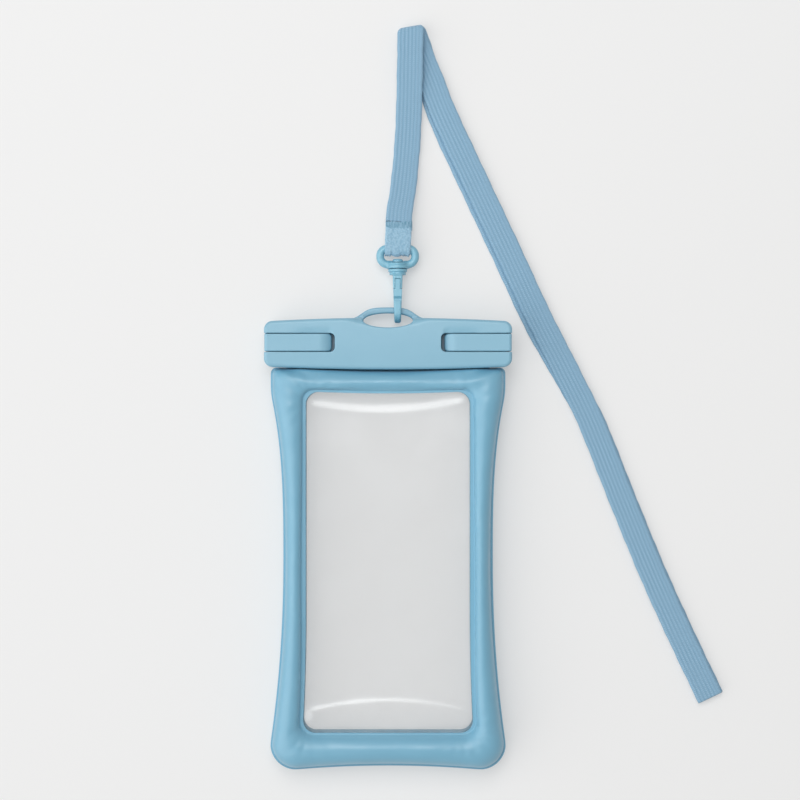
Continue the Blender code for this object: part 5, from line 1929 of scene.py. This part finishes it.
@dataclass
class Lanyard:
    """Doubled flat webbing from the swivel ring over its fold to its far end."""

    finish: Material
    end_finish: Material
    stitch_finish: Material
    hook: SwivelHook
    half: float = 6.1 * MM
    thick: float = 1.2 * MM
    floor: float = 0.3 * MM
    apart: float = 0.3 * MM
    sewn_length: float = 13.25 * MM
    settle_run: float = 30.0 * MM
    climb_y: float = 190.0 * MM
    climb_run: float = 34.0 * MM
    fold_inner_r: float = 0.9 * MM
    fold_corner: float = 0.14
    shift: float = 1.2 * MM
    step: float = 0.7 * MM
    ribs: int = 7
    rib_height: float = 0.06 * MM
    overlap: float = 1.5 * MM
    section_points: int = 84
    rise_length: float = 88.0 * MM
    turn_rows: int = 22
    skew_run: float = 22.0 * MM
    leave_run: float = 30.0 * MM
    band_below: float = 3.0 * MM
    band_above: float = 1.1 * MM
    band_ridges: int = 7
    rising: list[tuple[float, float]] = field(default_factory=lambda: [
        (0.0051, 0.1508), (0.0055, 0.1550), (0.0072, 0.1659), (0.0090, 0.1850),
        (0.0099, 0.2034), (0.0103, 0.2220), (0.0106, 0.2418),
    ])
    falling: list[tuple[float, float]] = field(default_factory=lambda: [
        (0.0106, 0.2418), (0.0186, 0.2200), (0.0263, 0.1987), (0.0408, 0.1673),
        (0.0556, 0.1358), (0.0710, 0.1027), (0.0843, 0.0779), (0.0962, 0.0548),
        (0.1110, 0.0180), (0.1255, -0.0172), (0.1395, -0.0480), (0.1528, -0.0759),
    ])

    @property
    def sewn_y(self) -> float:
        """End of the sewn part."""
        return self.hook.ring_top + self.sewn_length

    def path(self, layer: Layer) -> tuple[Array, Array, Array]:
        """Middle line of a strand, with its across vectors and normals.

        The strand rises flat, its rows turning until they lie along the fold's crease,
        wraps on a half round about that crease, and falls flat the other way up.

        Args:
            layer: which strand.

        Returns:
            Centres, across vectors and normals, each (rows, 3).
        """
        side = layer.value
        pitch = self.thick + self.apart
        level = self.floor + self.thick / 2
        radius = self.fold_inner_r + (pitch if layer is Layer.OUTER else 0.0)
        falling_z = level + (0.0 if layer is Layer.OUTER else pitch)
        rising_z = falling_z + 2 * radius
        rest_z = level + (pitch if layer is Layer.OUTER else 0.0)
        sewn_z = self.hook.z + side * pitch / 2

        rise, fall = np.array(self.rising), np.array(self.falling)
        top = rise[-1]
        first, second = unit(rise[-1] - rise[-2]), unit(fall[1] - fall[0])
        crease, outward = unit(first + second), unit(first - second)
        leaving = float(first @ outward)
        slide = float(first @ crease)
        crossing = top - first * ((self.fold_inner_r + self.apart + 1.5 * self.thick) / leaving)

        up = smooth_line(rise, 400)
        near = int(np.argmin(np.linalg.norm(up - crossing, axis=1)))
        rows = int(self.rise_length / self.step)
        up = smooth_line(np.vstack([up[: max(near - 4, 8)], crossing]), rows)
        to_go = np.linalg.norm(up - crossing, axis=1)
        tan_up = unit(np.gradient(up, axis=0))
        side_up = np.stack([tan_up[:, 1], -tan_up[:, 0]], 1)
        skew = slide / leaving * (1 - ease(to_go / self.skew_run))
        row_up = side_up + tan_up * skew[:, None]
        settle = ease((up[:, 1] - self.sewn_y) / self.settle_run)
        climb = ease((up[:, 1] - self.climb_y) / self.climb_run)
        z_up = sewn_z + (rest_z - sewn_z) * settle + (rising_z - rest_z) * climb

        turn = np.linspace(0, math.pi, self.turn_rows)[1:]
        past = turn * radius
        plan = crossing + crease * (slide * past / leaving)[:, None]
        plan = plan + outward * (radius * np.sin(turn))[:, None]
        z_turn = rising_z - radius * (1 - np.cos(turn))
        row_turn = np.tile(crease / abs(np.array([first[1], -first[0]]) @ crease), (len(turn), 1))
        row_turn *= 1 - self.fold_corner * np.sin(turn)[:, None] ** 3

        leave = plan[-1]
        down = smooth_line(fall, 1600)
        near = int(np.argmin(np.linalg.norm(down - leave, axis=1)))
        length = np.linalg.norm(np.diff(down[near:], axis=0), axis=1).sum()
        count = int(length / self.step)
        down = smooth_line(down[near::8], count)
        gone = np.linspace(0, length, count)
        down = down + (leave - down[0]) * (1 - ease(gone / self.leave_run))[:, None]
        tan_down = unit(np.gradient(down, axis=0))
        side_down = np.stack([-tan_down[:, 1], tan_down[:, 0]], 1)
        back = -float(second @ crease) / leaving
        row_down = side_down + tan_down * (-back * (1 - ease(gone / self.skew_run)))[:, None]
        share = gone / length
        play = side * self.shift * (0.85 - 1.15 * ease((share - 0.42) / 0.2)) * ease(share * 6)
        down = down - side_down * play[:, None]

        flat = np.vstack([up, plan, down[1:]])
        heights = np.concatenate([z_up, z_turn, np.full(count - 1, falling_z)])
        centres = np.column_stack([flat, heights])
        across = np.vstack([row_up, row_turn, row_down[1:]])
        across = np.column_stack([across, np.zeros(len(across))])
        steps = np.linalg.norm(np.gradient(up, axis=0), axis=1)
        slopes = np.gradient(z_up) / np.maximum(steps, TINY)
        run = np.column_stack([tan_up, slopes])
        normal_up = unit(np.cross(np.column_stack([side_up, np.zeros(len(up))]), run))
        normal_turn = np.column_stack([outward * np.sin(turn)[:, None], np.cos(turn)])
        normal_down = np.tile([0.0, 0.0, -1.0], (count - 1, 1))
        return centres, across, np.vstack([normal_up, normal_turn, normal_down])

    def section(self) -> tuple[Array, Array, Array]:
        """Closed section: ribs on both faces, rounded selvedges.

        Returns:
            Place across from -1 to 1, height in metres, and the texture's coordinate across.
        """
        count = self.section_points
        a = np.linspace(0, math.tau, count, endpoint=False)
        x = np.cos(a)
        x = np.sign(x) * np.abs(x) ** 0.62
        edge = (1 - np.abs(x) ** 9) ** 0.5
        ribs = 0.5 - 0.5 * np.cos((x * 0.5 + 0.5) * self.ribs * math.tau)
        height = np.sign(np.sin(a)) * (self.thick / 2 - self.rib_height * (1 - ribs)) * edge
        height[np.abs(np.sin(a)) < TINY] = 0.0
        u = x * 0.5 + 0.5
        return x, height, np.r_[u, u[0]]

    def band(self, name: str, centres: Array, across: Array, normals: Array) -> Mesh:
        """Loft of the section along rows: centre + across * x + normal * height.

        Args:
            name: name of the mesh.
            centres: middle of each row.
            across: each row's direction across the webbing.
            normals: each row's direction out of its face.

        Returns:
            The mesh, its width wavering by a sum of two sines of the length.
        """
        x, height, u = self.section()
        points = (
            centres[:, None, :]
            + across[:, None, :] * (x * self.half)[None, :, None]
            + normals[:, None, :] * height[None, :, None]
        )
        along = np.r_[0, np.cumsum(np.linalg.norm(np.diff(centres, axis=0), axis=1))]
        wobble = 1 + 0.012 * np.sin(along * 380) + 0.008 * np.sin(along * 910 + 1)
        points = centres[:, None, :] + (points - centres[:, None, :]) * wobble[:, None, None]
        return loft(name, points, across=u, along=along)

    def strand(self, layer: Layer) -> Piece:
        """Args:
            layer: which strand.

        Returns:
            The piece, riding on the case.
        """
        strand = f"{layer.name.lower()}_strand"
        centres, across, normals = self.path(layer)
        back = (centres[0] - centres[1]) * [1.0, 1.0, 0.0]
        back /= np.linalg.norm(back)
        under = centres[0] + back * (np.array([1.0, 0.67, 0.33]) * self.overlap)[:, None]
        rows = [np.vstack([np.tile(of[0], (3, 1)), of]) for of in (across, normals)]
        mesh = self.band(f"webbing_{strand}", np.vstack([under, centres]), *rows)
        made = stand_in(
            f"webbing_{strand}", mesh, self.finish, "case", f"lanyard_{strand}"
        )
        return made

    def sewn_end(self) -> Piece:
        """The webbing's end: down over the ring's far bar, round it and back.

        Returns:
            The piece, riding on the case.
        """
        radius = self.hook.ring_wire + FIT + self.thick / 2
        meet = (self.thick + self.apart) / 2
        x0, z0 = self.rising[0][0], self.hook.z
        share = np.linspace(0, 1, 34)
        start, ring_top = self.sewn_y - self.overlap, self.hook.ring_top
        y = start + (ring_top - start) * share
        x = x0 + (self.hook.x - x0) * share
        off = meet + (radius - meet) * ease(share * 1.15)
        front = np.stack([x, y, z0 + off], 1)
        back = np.stack([x, y, z0 - off], 1)[::-1]
        a = np.radians(np.linspace(90, -90, 26))[1:-1]
        wrap_y, wrap_z = ring_top - radius * np.cos(a), z0 + radius * np.sin(a)
        wrap = np.stack([np.full(len(a), self.hook.x), wrap_y, wrap_z], 1)
        centres = np.vstack([front, wrap, back])
        run = unit(np.gradient(centres, axis=0))
        across = np.tile([1.0, 0.0, 0.0], (len(centres), 1))
        mesh = self.band("webbing_sewn_end", centres, across, np.cross(across, run))
        self.fray(mesh)
        return stand_in(
            "webbing_sewn_end", mesh, self.end_finish, "case", "lanyard_sewn_end"
        )

    def fray(self, mesh: Mesh) -> None:
        """Uneven lower edge and fuzz: points near the wrap slide down by a sum of sines of x.

        Args:
            mesh: the sewn end's mesh, which is changed.
        """
        co = points_of(mesh)
        x = co[:, 0] - self.hook.x
        low = ease((self.hook.ring_top - 0.6 * MM - co[:, 1]) / (1.6 * MM))
        drop = 0.35 + 0.25 * np.sin(x * 2900) + 0.22 * np.sin(x * 5100 + 1.0)
        drop += 0.2 * np.sin(x * 1300 + 2.0)
        co[:, 1] -= low * drop * MM * 0.8
        lump = np.sin(x * 3900 + np.sin(co[:, 1] * 2500) * 1.5) * np.sin(co[:, 1] * 3300)
        co[:, 2] += 0.06 * MM * lump * np.sign(co[:, 2] - self.hook.z)
        mesh.vertices.foreach_set("co", co.astype(np.float32).ravel())

    def stitch_band(self) -> Piece:
        """Dense thread over the joint: a flat sleeve ridged by rows of thread.

        Returns:
            The piece, riding on the case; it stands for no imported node.
        """
        joint = self.sewn_y - self.overlap
        start, end = joint - self.band_below, joint + self.band_above
        rows = np.linspace(0, 1, 60)
        y = start + (end - start) * rows
        x0 = self.rising[0][0]
        swell = np.sqrt(np.clip(1 - (2 * rows - 1) ** 6, 0, 1))
        ridge = 0.5 + 0.5 * np.cos(rows * math.tau * self.band_ridges)
        half_x = self.half + (0.05 + 0.12 * swell + 0.05 * ridge) * MM
        half_z = self.thick + self.apart / 2 + (0.46 * swell - 0.22 + 0.06 * ridge * swell) * MM
        a = np.linspace(0, math.tau, 96, endpoint=False)
        cx = np.sign(np.cos(a)) * np.abs(np.cos(a)) ** 0.35
        cz = np.sign(np.sin(a)) * np.abs(np.sin(a)) ** 0.5
        slant = 1 + 0.02 * np.sin(a[None, :] * 24 + rows[:, None] * math.tau * 3)
        points = np.stack(
            [
                x0 + half_x[:, None] * cx[None, :],
                y[:, None] + (0.30 * np.sin(a * 19) + 0.22 * np.sin(a * 43 + 1))[None, :] * MM,
                self.hook.z + half_z[:, None] * cz[None, :] * slant,
            ],
            -1,
        )
        mesh = loft("webbing_stitch_band", points)
        return stand_in("webbing_stitch_band", mesh, self.stitch_finish, "case")

    def build(self) -> list[Piece]:
        """Make both strands, the sewn end and its stitching."""
        return [*(self.strand(layer) for layer in Layer), self.sewn_end(), self.stitch_band()]


@dataclass
class Studio:
    """Pale floor, soft light and the camera straight over the case."""

    look_x: float = 5.6 * MM
    look_y: float = 65.1 * MM
    plane_z: float = 9.5 * MM
    view_width: float = 0.376
    lens: float = 100.0
    sensor: float = 36.0
    floor_colour: Colour = (0.90, 0.90, 0.895)
    floor_patch: float = 0.995
    floor_half: float = 4.0
    floor_share: float = 0.42
    pale: float = 0.866
    light: float = 0.38
    lamps: tuple[tuple[str, tuple[float, float, float], float, float], ...] = (
        ("left", (-1.85, -0.45, 1.50), 3.40, 44.0),
        ("top", (-0.10, 0.62, 1.20), 0.75, 6.0),
    )

    def camera(self) -> None:
        """Camera that looks straight down, the picture's top toward +Y."""
        data = bpy.data.cameras.new("camera")
        data.lens = self.lens
        data.sensor_width = self.sensor
        data.clip_start = 0.05
        made = bpy.data.objects.new("camera", data)
        bpy.context.scene.collection.objects.link(made)
        away = self.view_width * self.lens / self.sensor
        made.location = (self.look_x, self.look_y, self.plane_z + away)
        bpy.context.scene.camera = made

    @staticmethod
    def seen(g: Graph) -> Socket:
        """One for camera, glossy and transmitted rays, which show the pale surroundings."""
        rays = g.node("ShaderNodeLightPath")
        both = g.sums("MAXIMUM", rays.outputs["Is Camera Ray"], rays.outputs["Is Glossy Ray"])
        return g.sums("MAXIMUM", both, rays.outputs["Is Transmission Ray"])

    def floor(self) -> None:
        """Large pale floor that keeps soft shadows."""
        g = Graph.of("floor_finish")
        patch = tuple(c * self.floor_patch for c in self.floor_colour)
        g.set(
            Base_Color=g.mix(g.noise(g.place(), 5.0), self.floor_colour, patch),
            Roughness=0.9,
            Specular_IOR_Level=0.1,
        )
        light = g.node("ShaderNodeEmission")
        g.put(light, "Color", (self.pale, self.pale, self.pale, 1.0))
        mixed = g.node("ShaderNodeMixShader")
        g.put(mixed, 0, g.sums("MULTIPLY", self.seen(g), self.floor_share))
        g.put(mixed, 1, g.shader.outputs[0])
        g.put(mixed, 2, light.outputs[0])
        g.put(g.tree.nodes["Material Output"], "Surface", mixed.outputs[0])
        half = self.floor_half
        corners = np.array([(-half, -half), (half, -half), (half, half), (-half, half)])
        points = np.column_stack([corners, np.full(4, -FLOOR_DROP)])
        made = show("floor", fill_mesh("floor", points, np.array([[0, 1, 2, 3]])), g.owner)

    def lamp(self, name: str, at: Sequence[float], size: float, power: float) -> None:
        """Square soft lamp that faces the middle of the picture.

        Args:
            name: name of the lamp.
            at: its place.
            size: length of its side.
            power: its power in watts.
        """
        data = bpy.data.lights.new(name, "AREA")
        data.shape = "SQUARE"
        data.size = size
        data.energy = power
        made = bpy.data.objects.new(name, data)
        bpy.context.scene.collection.objects.link(made)
        made.location = at
        aim = Vector((self.look_x, self.look_y, 0.0)) - made.location
        made.rotation_euler = aim.to_track_quat("-Z", "Y").to_euler()

    def world(self, strength: float) -> None:
        """Even pale surroundings.

        Args:
            strength: how strongly they light what is shown.
        """
        made = bpy.data.worlds.new("surroundings")
        g = Graph(made)
        shown = g.sums("MULTIPLY_ADD", self.seen(g), self.pale - strength, strength)
        g.set(Color=(1.0, 1.0, 1.0, 1.0), Strength=shown)
        bpy.context.scene.world = made

    def build(self) -> None:
        """Set the stage."""
        self.camera()
        self.floor()
        for name, at, size, power in self.lamps:
            self.lamp(name, at, size, power)
        self.world(self.light)
        bpy.context.scene.view_settings.view_transform = "Standard"


def dress_nodes() -> None:
    """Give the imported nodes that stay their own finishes."""
    steel = PlainSolid("pin_steel_finish", (0.62, 0.63, 0.65), 0.28, 1.0).build()
    rubber = PlainSolid("seal_rubber_finish", (0.10, 0.14, 0.17), 0.65).build()
    chosen = {
        "latch_pin_left": steel, "latch_pin_right": steel, "gate_pin": steel,
        "seal_strip_back": rubber, "seal_strip_front": rubber,
    }
    for node, finish in chosen.items():
        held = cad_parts[node]
        held.data.materials.clear()
        held.data.materials.append(finish)


def main() -> None:
    """Build every sub-assembly in order and report its pieces."""
    logging.basicConfig(level=logging.INFO, format="%(message)s")
    plastic = SatinMoulding(
        "clamp_plastic_finish", (0.224, 0.462, 0.600), (0.212, 0.448, 0.586)
    ).build()
    acetal = SatinMoulding(
        "hook_acetal_finish", (0.205, 0.485, 0.625), (0.190, 0.468, 0.610), roughness=0.37
    ).build()
    vinyl = SoftVinyl().build()
    film = ClearFilm().build()
    webbing = KnitWebbing("webbing_finish", (0.385, 0.590, 0.760), (0.165, 0.330, 0.475)).build()
    sewn = FuzzyKnit().build()
    thread = ThreadBand().build()

    Studio().build()
    latches = Latches(plastic)
    frame_part = AirFrame(vinyl)
    hook = SwivelHook(acetal)
    made = ClampBars(plastic, latches).build()
    made += [latches.build(side) for side in Side]
    made.append(frame_part.build())
    made += Windows(film, frame_part).build()
    made += hook.build()
    made += Lanyard(webbing, sewn, thread, hook).build()
    dress_nodes()
    for piece in made:
        log.info("%s: %d faces", piece.name, len(piece.data.polygons))


if __name__ == "__main__":
    main()
